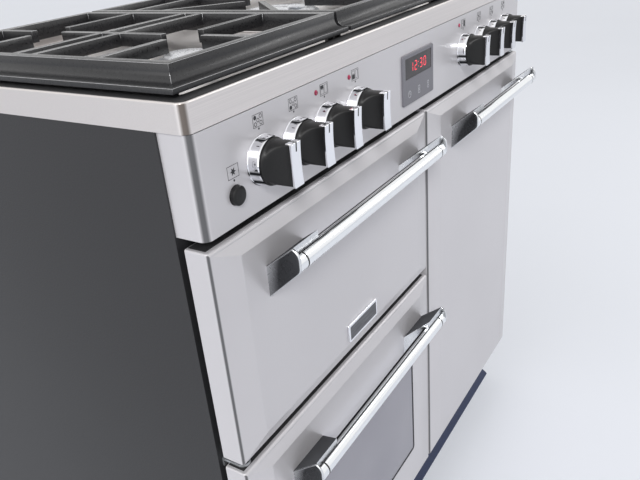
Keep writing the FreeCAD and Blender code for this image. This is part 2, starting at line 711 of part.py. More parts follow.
def element_ports():
    """The two holes that the element's ends leave the grill oven by."""
    lanes = element_lanes()
    return [(f"{LEFT_OVEN_CENTRE} + {lane}", ELEMENT_LEVEL, "element_diameter")
            for lane in (lanes[0], lanes[-1])]


def oven_rack(label, half, centre, level):
    """Wire shelf: two thick cross rails, two end rails and a row of thin rods."""
    body = new_body(label)
    left, right = f"0 - {half} + 3", f"{half} - 3"
    front, rear = f"{OVEN_FRONT} + 24", f"{OVEN_REAR} - 46"
    thick, thin = "rack_wire*2", "rack_wire"
    rail = pad(body, "XZ", front, rear, draw_circle(left, "0", thick))
    linear_pattern(body, rail, "X", f"({right}) - ({left})", 2)
    cross = pad(body, "YZ", left, right, draw_circle(front, "0", thick))
    linear_pattern(body, cross, "Y", f"({rear}) - ({front})", 3)
    rod = pad(body, "XZ", front, rear, draw_circle(f"{left} + 26", "0", thin))
    linear_pattern(body, rod, "X", f"({right}) - ({left}) - 52", 11)
    return place(body, centre, "0", level)


def oven_racks():
    """One shelf in the windowed oven and two in the tall oven, each resting on a pair of rails."""
    low = "main_oven_base + rail_first + rail_height + rack_wire"
    shelves = [oven_rack("rack_main", "oven_width/2", LEFT_OVEN_CENTRE, f"{low} + rail_step*2")]
    for step in (2, 5):
        shelves.append(oven_rack(f"rack_tall_{step}", "tall_oven_width/2", TALL_OVEN_CENTRE,
                                 f"{low} + rail_step*{step}"))
    return node(group("oven_racks", *shelves))


# ---------------------------------------------------------------- hob

def hob_plate():
    """Pressed hob plate with an upturned edge, a raised ring and a hole for each burner."""
    body = new_body("hob_plate")
    left, right = f"{LEFT} + plate + seat", f"{RIGHT} - plate - seat"
    front, rear = f"{FRONT} + plate + seat", f"{REAR} - rear_trim_depth"
    low, high = f"{HOB_PLATE_TOP} - sheet", "hob_height - plate - seat"
    pad(body, "XY", low, high, draw_rounded(left, front, right, rear, "(corner_radius - plate)"))
    pocket(body, "XY", HOB_PLATE_TOP, high,
           draw_rounded(f"{left} + sheet", f"{front} + sheet", f"{right} - sheet", f"{rear} - sheet", "5"))
    ring_top = f"{HOB_PLATE_TOP} + plate_ring"
    pad(body, "XY", HOB_PLATE_TOP, ring_top,
        *[draw_circle(across, deep, f"{size} + 24") for across, deep, size in burner_places()])
    soften(body, "Chamfer", "1.2", lambda edge, mid: near(mid.z, ring_top))
    pocket(body, "XY", low, ring_top,
           *[draw_circle(across, deep, f"{size} - 10 + 2*seat") for across, deep, size in burner_places()])
    pocket(body, "XY", low, HOB_PLATE_TOP,
           *[draw_circle(across, f"{deep} + {size}/2 + 17", "6") for across, deep, size in burner_places()])
    return node(body)


def burner_places():
    """Centre and cup diameter of the five burners."""
    outer = "(body_width/2 - outer_burner_offset)"
    front, rear = f"{FRONT} + front_burner_depth", f"{FRONT} + rear_burner_depth"
    return (
        (f"0 - {outer}", front, "burner_diameter"),
        (f"0 - {outer}", rear, "burner_diameter"),
        ("0", f"{FRONT} + wok_burner_depth", "wok_diameter"),
        (outer, front, "burner_diameter"),
        (outer, rear, "burner_diameter"),
    )


def small_burner_places():
    return [spot for spot in burner_places() if spot[2] == "burner_diameter"]


def burner_cups():
    """Cast cups that stand in the hob plate, with a mixing tube below."""
    cups = []
    for index, (across, deep, size) in enumerate(burner_places(), start=1):
        body = new_body(f"cup_{index}")
        waist, ring = f"({size}/2 - 5)", "plate_ring"
        revolve(body, draw_polygon(("0", "-24"), (f"{waist} - 9", "-24"), (waist, "-6"), (waist, ring),
                                   (f"{size}/2", ring), (f"{size}/2", "cup_rim"), ("0", "cup_rim")))
        pad(body, "XY", "-34", "-24", draw_circle("0", "0", "18"))
        cups.append(place(body, across, deep, HOB_PLATE_TOP))
    return node(group("burner_cups", *cups))


def toothed_crown(body, outer, height, count):
    """A crown with radial flame slots cut in its rim."""
    top = f"cup_rim + {height}"
    pad(body, "XY", "cup_rim", top, draw_circle("0", "0", outer))
    slot = pocket(body, "XY", "cup_rim + slot_base", top,
                  draw_rectangle(f"({outer})/2 - slot_depth", "0 - flame_slot/2",
                                 f"({outer})/2 + 1", "flame_slot/2"))
    polar_pattern(body, slot, "Z", count)


def burner_crowns():
    """Slotted crowns: one on each small burner, an outer ring and an inner crown on the wok burner."""
    crowns = []
    for index, (across, deep, size) in enumerate(small_burner_places(), start=1):
        body = new_body(f"crown_{index}")
        toothed_crown(body, "crown_diameter", "crown_height", 24)
        crowns.append(place(body, across, deep, HOB_PLATE_TOP))
    outer = new_body("wok_outer_crown")
    toothed_crown(outer, "wok_crown_diameter", "crown_height", 36)
    pocket(outer, "XY", "cup_rim", "cup_rim + crown_height", draw_circle("0", "0", "wok_channel_diameter"))
    inner = new_body("wok_inner_crown")
    toothed_crown(inner, "wok_inner_diameter", "crown_height + wok_lift", 18)
    crowns += [place(body, "0", WOK_DEPTH, HOB_PLATE_TOP) for body in (outer, inner)]
    return node(group("burner_crowns", *crowns))


def turned_cap(label, diameter, low):
    """Flat cap with a chamfered rim."""
    body = new_body(label)
    revolve(body, draw_polygon(("0", low), (f"{diameter}/2", low), (f"{diameter}/2", f"{low} + cap_height/2"),
                               (f"{diameter}/2 - cap_height/2", f"{low} + cap_height"),
                               ("0", f"{low} + cap_height")))
    return body


def burner_caps():
    """Caps that lie on the crowns; the wok burner has a ring cap and a middle cap."""
    low = "(cup_rim + crown_height)"
    caps = []
    for index, (across, deep, size) in enumerate(small_burner_places(), start=1):
        caps.append(place(turned_cap(f"cap_{index}", "cap_diameter", low), across, deep, HOB_PLATE_TOP))
    ring = new_body("wok_ring_cap")
    inner, outer = "(wok_channel_diameter/2 - 2)", "(wok_crown_diameter/2 - 4)"
    revolve(ring, draw_polygon((inner, low), (outer, low), (outer, f"{low} + cap_height/2"),
                               (f"{outer} - cap_height", f"{low} + cap_height"),
                               (f"{inner} + cap_height/2", f"{low} + cap_height"),
                               (inner, f"{low} + cap_height/2")))
    middle = turned_cap("wok_middle_cap", "wok_cap_diameter", f"({low} + wok_lift)")
    caps += [place(body, "0", WOK_DEPTH, HOB_PLATE_TOP) for body in (ring, middle)]
    return node(group("burner_caps", *caps))


def spark_electrodes():
    """One ceramic spark pin beside each burner, through the hob plate."""
    pins = []
    for index, (across, deep, size) in enumerate(burner_places(), start=1):
        body = new_body(f"electrode_{index}")
        revolve(body, draw_polygon(("0", "-14"), ("2.5", "-14"), ("2.5", "9"), ("0.9", "10"), ("0.9", "14"),
                                   ("0", "14")))
        pins.append(place(body, across, f"{deep} + {size}/2 + 17", HOB_PLATE_TOP))
    return node(group("spark_electrodes", *pins))


def hob_trim():
    """Bright surround of the hob: front, sides and rear, with a flange over the hob plate's edge."""
    body = new_body("hob_trim")
    pad(body, "XY", PANEL_TOP, "hob_height", draw_rounded(LEFT, FRONT, RIGHT, REAR, "corner_radius"))
    inner = "(corner_radius - plate)"
    pocket(body, "XY", PANEL_TOP, "hob_height - plate",
           draw_rounded(f"{LEFT} + plate", f"{FRONT} + plate", f"{RIGHT} - plate", f"{REAR} - plate", inner))
    pocket(body, "XY", "hob_height - plate", "hob_height",
           draw_rounded(f"{LEFT} + 8", f"{FRONT} + 8", f"{RIGHT} - 8", f"{REAR} - 8", "4"))
    soften(body, "Fillet", "1.6", lambda edge, mid: near(mid.z, "hob_height") and outside_trim(mid))
    return node(body)


def outside_trim(mid):
    side = number(RIGHT) - number("corner_radius")
    return abs(mid.x) > side or mid.y < number(FRONT) + 4 or mid.y > number(REAR) - 4


def rear_vent():
    """Raised cover behind the hob with a row of vent slots over the oven flue."""
    body = new_body("rear_vent")
    left, right = f"{LEFT} + 8.5", f"{RIGHT} - 8.5"
    front, rear = f"{REAR} - rear_trim_depth + 2", f"{REAR} - 8.5"
    pad(body, "XY", f"{HOB_PLATE_TOP} - 6", "hob_height + 3", draw_rounded(left, front, right, rear, "4"))
    pocket(body, "XY", f"{HOB_PLATE_TOP} - 6", "hob_height + 3 - sheet",
           draw_rounded(f"{left} + sheet", f"{front} + sheet", f"{right} - sheet", f"{rear} - sheet", "2.5"))
    slot = pocket(body, "XY", "hob_height + 3 - sheet", "hob_height + 3",
                  draw_rounded(f"{left} + 46", f"{front} + 22", f"{left} + 46 + vent_slot_width",
                               f"{front} + 22 + vent_slot_length*0.9", "vent_slot_width*0.45"))
    linear_pattern(body, slot, "X", "body_width*0.88", 40)
    soften(body, "Fillet", "1.2", lambda edge, mid: near(mid.z, "hob_height + 3")
           and (near(mid.y, front) or near(mid.y, rear) or abs(mid.x) > number(right) - 3))
    return node(body)


def support_bounds(index):
    """Left and right edge of pan support 0, 1 or 2."""
    span = "((body_width - 2*support_inset - 2*support_gap)/3)"
    left = f"({LEFT} + support_inset + {index}*({span} + support_gap))"
    return left, f"({left} + {span})"


def pan_support(label, index):
    """Cast-iron support: stepped skirt, upright rails, fingers towards the burners and four feet."""
    body = new_body(label)
    left, right = support_bounds(index)
    front, rear = f"({FRONT} + support_front)", f"({FRONT} + support_front + support_depth)"
    ledge_top = "(hob_height + ledge_top)"
    ledge_low = f"({ledge_top} - ledge_thickness)"
    top = "(hob_height + support_top)"
    # the skirt steps out on the sides of the cooker and at the front and the rear
    step_left = "ledge_width" if index == 0 else "0"
    step_right = "ledge_width" if index == 2 else "0"
    rail_left, rail_right = f"({left} + {step_left})", f"({right} - {step_right})"
    rail_front, rail_rear = f"({front} + ledge_width)", f"({rear} - ledge_width)"
    inner_left, inner_right = f"({rail_left} + rail_bar)", f"({rail_right} - rail_bar)"
    inner_front, inner_rear = f"({rail_front} + rail_bar)", f"({rail_rear} - rail_bar)"
    pad(body, "XY", ledge_low, ledge_top, draw_rectangle(left, front, right, rear))
    pad(body, "XY", ledge_low, top, draw_rectangle(rail_left, rail_front, rail_right, rail_rear))
    pocket(body, "XY", ledge_low, top, draw_rectangle(inner_left, inner_front, inner_right, inner_rear))
    soften(body, "Fillet", "cove_radius", lambda edge, mid: near(mid.z, ledge_top)
           and on_rail_foot(mid, rail_left, rail_right, rail_front, rail_rear, index))
    centre = f"(({rail_left} + {rail_right})/2)" if index == 1 else burner_across(index)
    finger_low = f"{top} - finger_height"
    bars = wok_fingers(inner_left, inner_right, inner_front, inner_rear) if index == 1 else \
        pair_fingers(centre, inner_left, inner_right, inner_front, inner_rear)
    for outline in bars:
        pad(body, "XY", finger_low, top, outline)
    for across in (f"{inner_left} - rail_bar/2", f"{inner_right} + rail_bar/2"):
        for deep in (f"{inner_front} - rail_bar/2", f"{inner_rear} + rail_bar/2"):
            pad(body, "XY", HOB_PLATE_TOP, ledge_low, draw_circle(across, deep, "rail_bar - 1"))
    return node(body)


def on_rail_foot(mid, left, right, front, rear, index):
    """Is the point on the inner corner between the rail and a ledge?"""
    if near(mid.y, front) or near(mid.y, rear):
        return True
    return (index == 0 and near(mid.x, left)) or (index == 2 and near(mid.x, right))


def burner_across(index):
    outer = "(body_width/2 - outer_burner_offset)"
    return f"(0 - {outer})" if index == 0 else outer


def pair_fingers(centre, left, right, front, rear):
    """Outlines of the bars and fingers over a front and a rear burner."""
    half = "finger_width/2"
    near_burner, far_burner = f"({FRONT} + front_burner_depth)", f"({FRONT} + rear_burner_depth)"
    bars = []
    middle_low = f"({near_burner} + {far_burner})/2 - bridge_spread/2"
    middle_high = f"({near_burner} + {far_burner})/2 + bridge_spread/2"
    for deep in (middle_low, middle_high):
        bars.append(draw_rectangle(f"{left} - 1", f"{deep} - {half}", f"{right} + 1", f"{deep} + {half}"))
    for deep in (near_burner, far_burner):
        low, high = f"{deep} - {half}", f"{deep} + {half}"
        bars.append(draw_rectangle(f"{left} - 1", low, f"{centre} - finger_reach", high))
        bars.append(draw_rectangle(f"{centre} + finger_reach", low, f"{right} + 1", high))
    spans = ((f"{front} - 1", f"{near_burner} - finger_reach"), (f"{near_burner} + finger_reach", middle_low),
             (middle_low, middle_high),
             (middle_high, f"{far_burner} - finger_reach"), (f"{far_burner} + finger_reach", f"{rear} + 1"))
    for low, high in spans:
        bars.append(draw_rectangle(f"{centre} - {half}", low, f"{centre} + {half}", high))
    return bars


def wok_fingers(left, right, front, rear):
    """Outlines of the bars and slanted fingers round the wok burner."""
    half = "finger_width/2"
    slant = "finger_width*0.7071"
    deep = f"({FRONT} + wok_burner_depth)"
    reach = "wok_finger_reach"
    start_low, start_high = f"({deep} - wok_finger_spread)", f"({deep} + wok_finger_spread)"
    bars = []
    for side, sense in ((left, 1), (right, -1)):
        inner = f"{side} - ({sense})*1"
        tip = f"{side} + ({sense})*{reach}"
        for start, rise in ((start_low, 1), (start_high, -1)):
            end = f"{start} + ({rise})*{reach}"
            bars.append(draw_polygon(
                (inner, f"{start} - ({rise})*1 - {slant}"), (tip, f"{end} - {slant}"),
                (f"{tip} + ({sense})*2", end), (tip, f"{end} + {slant}"),
                (inner, f"{start} - ({rise})*1 + {slant}")))
    bars.append(draw_rectangle(f"0 - {half}", f"{front} - 1", half, f"{deep} - wok_crown_diameter*0.42"))
    bars.append(draw_rectangle(f"0 - {half}", f"{deep} + wok_crown_diameter*0.42", half, f"{rear} + 1"))
    bars.append(draw_rectangle(f"{left} - 1", f"{rear} - 74", f"{right} + 1", f"{rear} - 74 + finger_width"))
    return bars


# ---------------------------------------------------------------- gas supply

def gas_rail():
    """Gas rail behind the control panel, run back along the right side to the threaded inlet."""
    body = new_body("rail_pipe")
    start, corner, level = f"{LEFT} + 80", f"({RIGHT} - inlet_inset)", "(hob_height - inlet_drop)"
    lane = f"({FRONT} + panel_depth + 26)"
    bend = "(gas_pipe*2)"
    exit_end = f"({REAR} - inlet_length - 8)"
    spine = new_sketch(body, "XY", level, [draw_path(
        [(start, lane), (f"{corner} - {bend}", lane), (corner, f"{lane} + {bend}", bend), (corner, exit_end)],
        False)])
    tube = body.newObject("PartDesign::AdditivePipe", "Pipe")
    tube.Profile = new_sketch(body, "YZ", start, [draw_circle(lane, level, "gas_pipe")])
    tube.Spine = spine
    inlet = new_body("gas_inlet")
    collar_end = f"({exit_end} + 8)"
    pad(inlet, "XZ", exit_end, collar_end, draw_circle(corner, level, "inlet_thread + 5"))
    pad(inlet, "XZ", collar_end, f"{REAR} - seat", draw_circle(corner, level, "inlet_thread"))
    pocket(inlet, "XZ", collar_end, f"{REAR} - seat", draw_circle(corner, level, "gas_pipe - 2"))
    return node(group("gas_rail", body, inlet))


def knob_places():
    """Distance of each knob from the panel's centre, from left to right."""
    outer, second = "knob_first", "(knob_first - knob_spacing)"
    third, inner = "(knob_first - 2*knob_spacing)", "knob_inner"
    left = [f"(0 - {spot})" for spot in (outer, second, third, inner)]
    right = [inner, third, second, outer]
    return left + right


def spindle(body, across, start):
    """D-shaped control spindle through the panel into the knob."""
    pad(body, "XZ", f"{FRONT} - 24", start, draw_circle(across, KNOB_LEVEL, "spindle_diameter"))


def gas_taps():
    """Five gas taps on the rail: body, rail saddle, outlet and spindle."""
    taps = []
    for index in (0, 1, 5, 6, 7):
        across = knob_places()[index]
        body = new_body(f"tap_{index + 1}")
        front = f"{FRONT} + plate + 8"
        pad(body, "XZ", front, f"{FRONT} + panel_depth + 19", draw_rounded(
            f"{across} - 13", f"{KNOB_LEVEL} - 15", f"{across} + 13", f"{KNOB_LEVEL} + 15", "4"))
        pad(body, "XZ", f"{FRONT} + plate + 3", front, draw_circle(across, KNOB_LEVEL, "18"))
        spindle(body, across, f"{FRONT} + plate + 3")
        taps.append(body)
    return node(group("gas_taps", *taps))


def panel_switches():
    """Three rotary oven switches with their spindles, and the spark switch behind the ignition button."""
    switches = []
    front = f"{FRONT} + plate + 8"
    for index in (2, 3, 4):
        across = knob_places()[index]
        body = new_body(f"switch_{index + 1}")
        pad(body, "XZ", front, f"{FRONT} + panel_depth + 12", draw_rounded(
            f"{across} - 20", f"{KNOB_LEVEL} - 20", f"{across} + 20", f"{KNOB_LEVEL} + 20", "5"))
        pad(body, "XZ", f"{FRONT} + plate + 3", front, draw_circle(across, KNOB_LEVEL, "18"))
        spindle(body, across, f"{FRONT} + plate + 3")
        switches.append(body)
    across, level = f"{LEFT} + button_inset", f"{PANEL_BASE} + button_height"
    spark = new_body("ignition_switch")
    pad(spark, "XZ", front, f"{front} + 26",
        draw_rounded(f"{across} - 14", f"{level} - 12", f"{across} + 14", f"{level} + 12", "3"))
    pocket(spark, "XZ", front, f"{front} + 8", draw_circle(across, level, "button_stem + 2*seat"))
    switches.append(spark)
    return node(group("panel_switches", *switches))


# ---------------------------------------------------------------- control panel

def control_panel():
    """Painted panel folded back at its ends, stamped for the spindles, the clock, the button and the neons."""
    body = new_body("control_panel")
    left, right = f"{LEFT} + panel_inset", f"{RIGHT} - panel_inset"
    rear = f"{FRONT} + panel_depth"
    pad(body, "XY", PANEL_BASE, f"{PANEL_TOP} - 0.8", draw_polygon(
        (left, rear), (left, f"{FRONT} + corner_radius"),
        (f"{left} + corner_radius", FRONT, "corner_radius"),
        (f"{right} - corner_radius", FRONT), (right, f"{FRONT} + corner_radius", "corner_radius"),
        (right, rear)))
    pocket(body, "XY", f"{PANEL_BASE} + sheet", f"{PANEL_TOP} - 0.8 - sheet", draw_polygon(
        (f"{left} + plate", f"{rear}"), (f"{left} + plate", f"{FRONT} + corner_radius"),
        (f"{left} + corner_radius", f"{FRONT} + plate", "corner_radius - plate"),
        (f"{right} - corner_radius", f"{FRONT} + plate"),
        (f"{right} - plate", f"{FRONT} + corner_radius", "corner_radius - plate"),
        (f"{right} - plate", f"{rear}")))
    back = f"{FRONT} + plate"
    holes = [draw_circle(across, KNOB_LEVEL, "spindle_diameter + 5") for across in knob_places()]
    holes += [draw_circle(across, f"{PANEL_BASE} + neon_height", "neon_diameter + 0.2")
              for across in neon_places()]
    holes.append(draw_circle(f"{LEFT} + button_inset", f"{PANEL_BASE} + button_height", "button_diameter + 1"))
    clock_low = f"{PANEL_BASE} + clock_base"
    holes.append(draw_rectangle("0 - clock_width/2 + 4", f"{clock_low} + 4", "clock_width/2 - 4",
                                f"{clock_low} + clock_height - 4"))
    pocket(body, "XZ", FRONT, back, *holes)
    return node(body)


def neon_places():
    return ("(0 - neon_first)", "(0 - neon_second)", "neon_third")


def clock_module():
    """Clock: a frame on the panel, a housing behind it and a recess for the display."""
    body = new_body("clock_module")
    low = f"{PANEL_BASE} + clock_base"
    face = f"{FRONT} - clock_proud"
    pad(body, "XZ", face, FRONT,
        draw_rounded("0 - clock_width/2", low, "clock_width/2", f"{low} + clock_height", "3"))
    soften(body, "Fillet", "1", lambda edge, mid: near(mid.y, face))
    pad(body, "XZ", FRONT, f"{FRONT} + clock_depth",
        draw_rectangle("0 - clock_width/2 + 4.5", f"{low} + 4.5", "clock_width/2 - 4.5",
                       f"{low} + clock_height - 4.5"))
    pocket(body, "XZ", face, f"{face} + 2",
           draw_rounded("0 - display_width/2", f"{low} + clock_height - 5 - display_height",
                        "display_width/2", f"{low} + clock_height - 5", "1"))
    return node(body)


def clock_display():
    body = new_body("clock_display")
    low = f"{PANEL_BASE} + clock_base"
    face = f"{FRONT} - clock_proud"
    pad(body, "XZ", f"{face} + 0.5", f"{face} + 2",
        draw_rounded("0 - display_width/2 + 0.2", f"{low} + clock_height - 4.8 - display_height",
                     "display_width/2 - 0.2", f"{low} + clock_height - 5.2", "1"))
    return node(body)


def knob_bezels():
    """Eight bright rings on the panel, each with a turned lip."""
    rings = []
    for index, across in enumerate(knob_places(), start=1):
        body = new_body(f"bezel_{index}")
        bore, rim = "bezel_bore/2", "bezel_diameter/2"
        revolve(body, draw_polygon(("spindle_diameter/2 + 2", "0"), (rim, "0"), (rim, "bezel_depth - 1.5"),
                                   (f"{rim} - 0.8", "bezel_depth"), (bore, "bezel_depth"), (bore, "plate"),
                                   ("spindle_diameter/2 + 2", "plate")))
        body.Placement.Rotation = Rotation(X_AXIS, 90)
        rings.append(place(body, across, FRONT, KNOB_LEVEL))
    return node(group("knob_bezels", *rings))


def knob(index, across):
    """Turned knob scooped out on both sides to leave an upright grip, with a bright strip over its nose."""
    label = f"knob_{index}"
    body = new_body(f"{label}_body")
    back = "plate + 0.6"
    rim = "knob_diameter/2"
    revolve(body, draw_polygon(("0", back), (rim, back), (rim, "bezel_depth + 2"),
                               (f"{rim} - 1.2", "bezel_depth + 3.5"), ("strip_height/2", "knob_depth"),
                               ("0", "knob_depth")))
    for sense in (-1, 1):
        pocket(body, "XZ", f"0 - {rim} - 1", f"{rim} + 1", draw_polygon(
            (f"({sense})*({rim} + 2)", "bezel_depth + 3"), (f"({sense})*({rim} - 1.5)", "bezel_depth + 3"),
            (f"({sense})*(grip_width/2)", "knob_depth - 6", scoop_radius(sense)),
            (f"({sense})*(grip_width/2)", "knob_depth + 1"), (f"({sense})*({rim} + 2)", "knob_depth + 1")))
    pocket(body, "XY", back, "24.6", draw_circle("0", "0", "spindle_diameter + 2*pin_clearance"))
    side = "(grip_width/2 - strip_margin)"
    pocket(body, "YZ", f"0 - {side}", side, strip_profile("1"))
    strip = new_body(f"{label}_strip")
    pad(strip, "YZ", f"0 - {side}", side, strip_profile("0"))
    soften(strip, "Chamfer", "0.8", lambda edge, mid: near(mid.z, "knob_depth"))
    pocket(strip, "XY", "knob_depth - strip_depth/2", "knob_depth",
           draw_rectangle("0 - pointer_width/2", "strip_height/2 - pointer_length",
                          "pointer_width/2", "strip_height/2"))
    for piece in (body, strip):
        piece.Placement.Rotation = Rotation(X_AXIS, 90)
        place(piece, across, FRONT, KNOB_LEVEL)
    return node(group(label, body, strip))


def scoop_radius(sense):
    return "-scoop" if sense > 0 else "scoop"


def strip_profile(over):
    """Side view of a grip's strip: over the nose, and folded back along the top."""
    top, low, nose = f"(strip_height/2 + {over})", f"(0 - strip_height/2 - {over})", f"(knob_depth + {over})"
    seat, step = "(knob_depth - strip_depth)", "(strip_height/2 - strip_depth/2)"
    fold = "(knob_depth - strip_fold)"
    return draw_polygon((low, seat), (step, seat), (step, fold), (top, fold), (top, nose), (low, nose))


def ignition_button():
    """Domed push button on a stem that runs into the ignition switch."""
    body = new_body("ignition_button")
    revolve(body, draw_polygon(("0", "-13"), ("button_stem/2", "-13"), ("button_stem/2", "-6"),
                               ("button_diameter/2", "-6"),
                               ("button_diameter/2", "button_proud - 2"),
                               ("button_diameter/2 - 3", "button_proud - 0.4", "4"), ("0", "button_proud")))
    body.Placement.Rotation = Rotation(X_AXIS, 90)
    return node(place(body, f"{LEFT} + button_inset", FRONT, f"{PANEL_BASE} + button_height"))


def neon_lamps():
    """Three small lenses clipped into the panel."""
    lamps = []
    for index, across in enumerate(neon_places(), start=1):
        body = new_body(f"neon_{index}")
        revolve(body, draw_polygon(("0", "-10"), ("neon_diameter/2", "-10"), ("neon_diameter/2", "0.6"),
                                   ("neon_diameter/2 - 0.8", "1.4"), ("0", "1.4")))
        body.Placement.Rotation = Rotation(X_AXIS, 90)
        lamps.append(place(body, across, FRONT, f"{PANEL_BASE} + neon_height"))
    return node(group("neon_lamps", *lamps))


# ---------------------------------------------------------------- doors

DOORS = (
    # name, left edge, bottom, width, height, oven mouth (left, floor, width, height)
    ("grill", LEFT, GRILL_DOOR_BASE, "left_door_width", "grill_door_height",
     (f"{LEFT_OVEN_CENTRE} - oven_width/2", "grill_oven_base", "oven_width", "grill_oven_height")),
    ("main", LEFT, "door_base", "left_door_width", MAIN_DOOR_HEIGHT,
     (f"{LEFT_OVEN_CENTRE} - oven_width/2", "main_oven_base", "oven_width", "main_oven_height")),
    ("tall", TALL_DOOR_LEFT, "door_base", "tall_door_width", TALL_DOOR_HEIGHT,
     (f"{TALL_OVEN_CENTRE} - tall_oven_width/2", "main_oven_base", "tall_oven_width", "tall_oven_height")),
)


def window_outline(grow="0"):
    left, low = "window_left", "window_base"
    return draw_rounded(f"{left} - {grow}", f"{low} - {grow}", f"{left} + window_width + {grow}",
                        f"{low} + window_height + {grow}", f"(window_radius + {grow})")


def door_skin(name, left, base, width, height):
    """Pressed door skin: rounded edge, a picture-frame bevel and a raised flat field, hollow behind."""
    body = new_body(f"{name}_door_skin")
    pad(body, "XZ", "0", "door_depth", draw_rectangle("0", "0", width, height))
    soften(body, "Fillet", "2", lambda edge, mid: along(edge, Y_AXIS))
    soften(body, "Fillet", "door_edge_radius", lambda edge, mid: near(mid.y, "0"))
    foot = "(door_edge_radius + 0.4)"
    loft(body, "AdditiveLoft", "XZ", (
        ("0", draw_rectangle(foot, foot, f"{width} - {foot}", f"{height} - {foot}")),
        ("field_rise", draw_rectangle("bevel_side", "bevel_end",
                                      f"{width} - bevel_side", f"{height} - bevel_end"))))
    doc.recompute()
    inner = "(door_edge_radius + sheet)"
    pocket(body, "XZ", "sheet", "door_depth",
           draw_rounded("sheet", "sheet", f"{width} - sheet", f"{height} - sheet", "1"))
    loft(body, "SubtractiveLoft", "XZ", (
        ("0 - sheet", draw_rectangle(inner, inner, f"{width} - {inner}", f"{height} - {inner}")),
        ("field_rise - sheet", draw_rectangle("bevel_side + 1", "bevel_end + 1",
                                              f"{width} - bevel_side - 1", f"{height} - bevel_end - 1"))))
    doc.recompute()
    if name == "main":
        pocket(body, "XZ", "0 - field_rise - 1", "door_depth", window_outline())
    if name == "grill":
        pocket(body, "XY", "0", "sheet", *[draw_rectangle(f"{spot} - 4.5", "6", f"{spot} + hinge_plate + 4.5",
                                                           "door_depth") for spot in drop_hinge_spots()])
    else:
        spot = hinge_spot(name, width)
        pocket(body, "XY", "0", "sheet", draw_circle(spot, "hinge_offset", "hinge_pin + 4"))
        pocket(body, "XY", f"{height} - sheet", height, draw_circle(spot, "hinge_offset", "hinge_pin + 4"))
    return node(place(body, left, FRONT, base))


def hinge_spot(name, width):
    return "hinge_offset" if name == "main" else f"({width} - hinge_offset)"


def drop_hinge_spots():
    """Left face of each drop-down hinge plate, from the door's left edge."""
    return ("(hinge_block + 4)", "(left_door_width - hinge_block - 4 - hinge_plate)")


def door_liner(name, left, base, width, height, mouth):
    """Inner door panel with a plug that enters the seal, and the blocks that the hinge pins turn in."""
    body = new_body(f"{name}_door_liner")
    back = "(door_depth - sheet)"
    front = f"({back} - sheet)"
    pad(body, "XZ", front, back, draw_rectangle("sheet + 0.2", "sheet + 0.2", f"{width} - sheet - 0.2",
                                                f"{height} - sheet - 0.2"))
    plug_left, plug_low = f"({mouth[0]} - {left} + 6)", f"({mouth[1]} - {base} + 6)"
    plug_right, plug_high = f"({plug_left} + {mouth[2]} - 12)", f"({plug_low} + {mouth[3]} - 12)"
    pad(body, "XZ", back, "door_depth + plug_depth",
        draw_rounded(plug_left, plug_low, plug_right, plug_high, "12"))
    pocket(body, "XZ", front, "door_depth + plug_depth - sheet",
           draw_rounded(f"{plug_left} + sheet", f"{plug_low} + sheet", f"{plug_right} - sheet",
                        f"{plug_high} - sheet", "10.5"))
    if name == "main":
        pocket(body, "XZ", "door_depth", "door_depth + plug_depth",
               draw_rounded("window_left + inner_pane_lap", "window_base + inner_pane_lap",
                            "window_left + window_width - inner_pane_lap",
                            "window_base + window_height - inner_pane_lap", "window_radius"))
    if name == "grill":
        low, high = "sheet + 0.2", "drop_hinge_height + 11"
        for sense, spot in zip((-1, 1), drop_hinge_spots()):
            clear = f"{spot} - 1" if sense < 0 else f"{spot} + hinge_plate + 1"
            far = f"{clear} + ({sense})*14"
            pad(body, "YZ", *((far, clear) if sense < 0 else (clear, far)),
                draw_rectangle("6", low, front, high))
            pocket(body, "YZ", *((far, clear) if sense < 0 else (clear, far)),
                   draw_circle("drop_hinge_depth", "drop_hinge_height", "hinge_pin + 2*pin_clearance"))
        pocket(body, "XZ", front, back,
               *[draw_rectangle(f"{spot} - 1", "0", f"{spot} + hinge_plate + 1", "drop_hinge_height + 12")
                 for spot in drop_hinge_spots()])
    else:
        spot, half = hinge_spot(name, width), "hinge_block/2"
        for low, high in (("sheet + 0.2", "sheet + 14"), (f"{height} - sheet - 14", f"{height} - sheet - 0.2")):
            pad(body, "XY", low, high,
                draw_rectangle(f"{spot} - {half}", f"hinge_offset - {half}", f"{spot} + {half}", front))
            pocket(body, "XY", low, high, draw_circle(spot, "hinge_offset", "hinge_pin + 2*pin_clearance"))
    return node(place(body, left, FRONT, base))


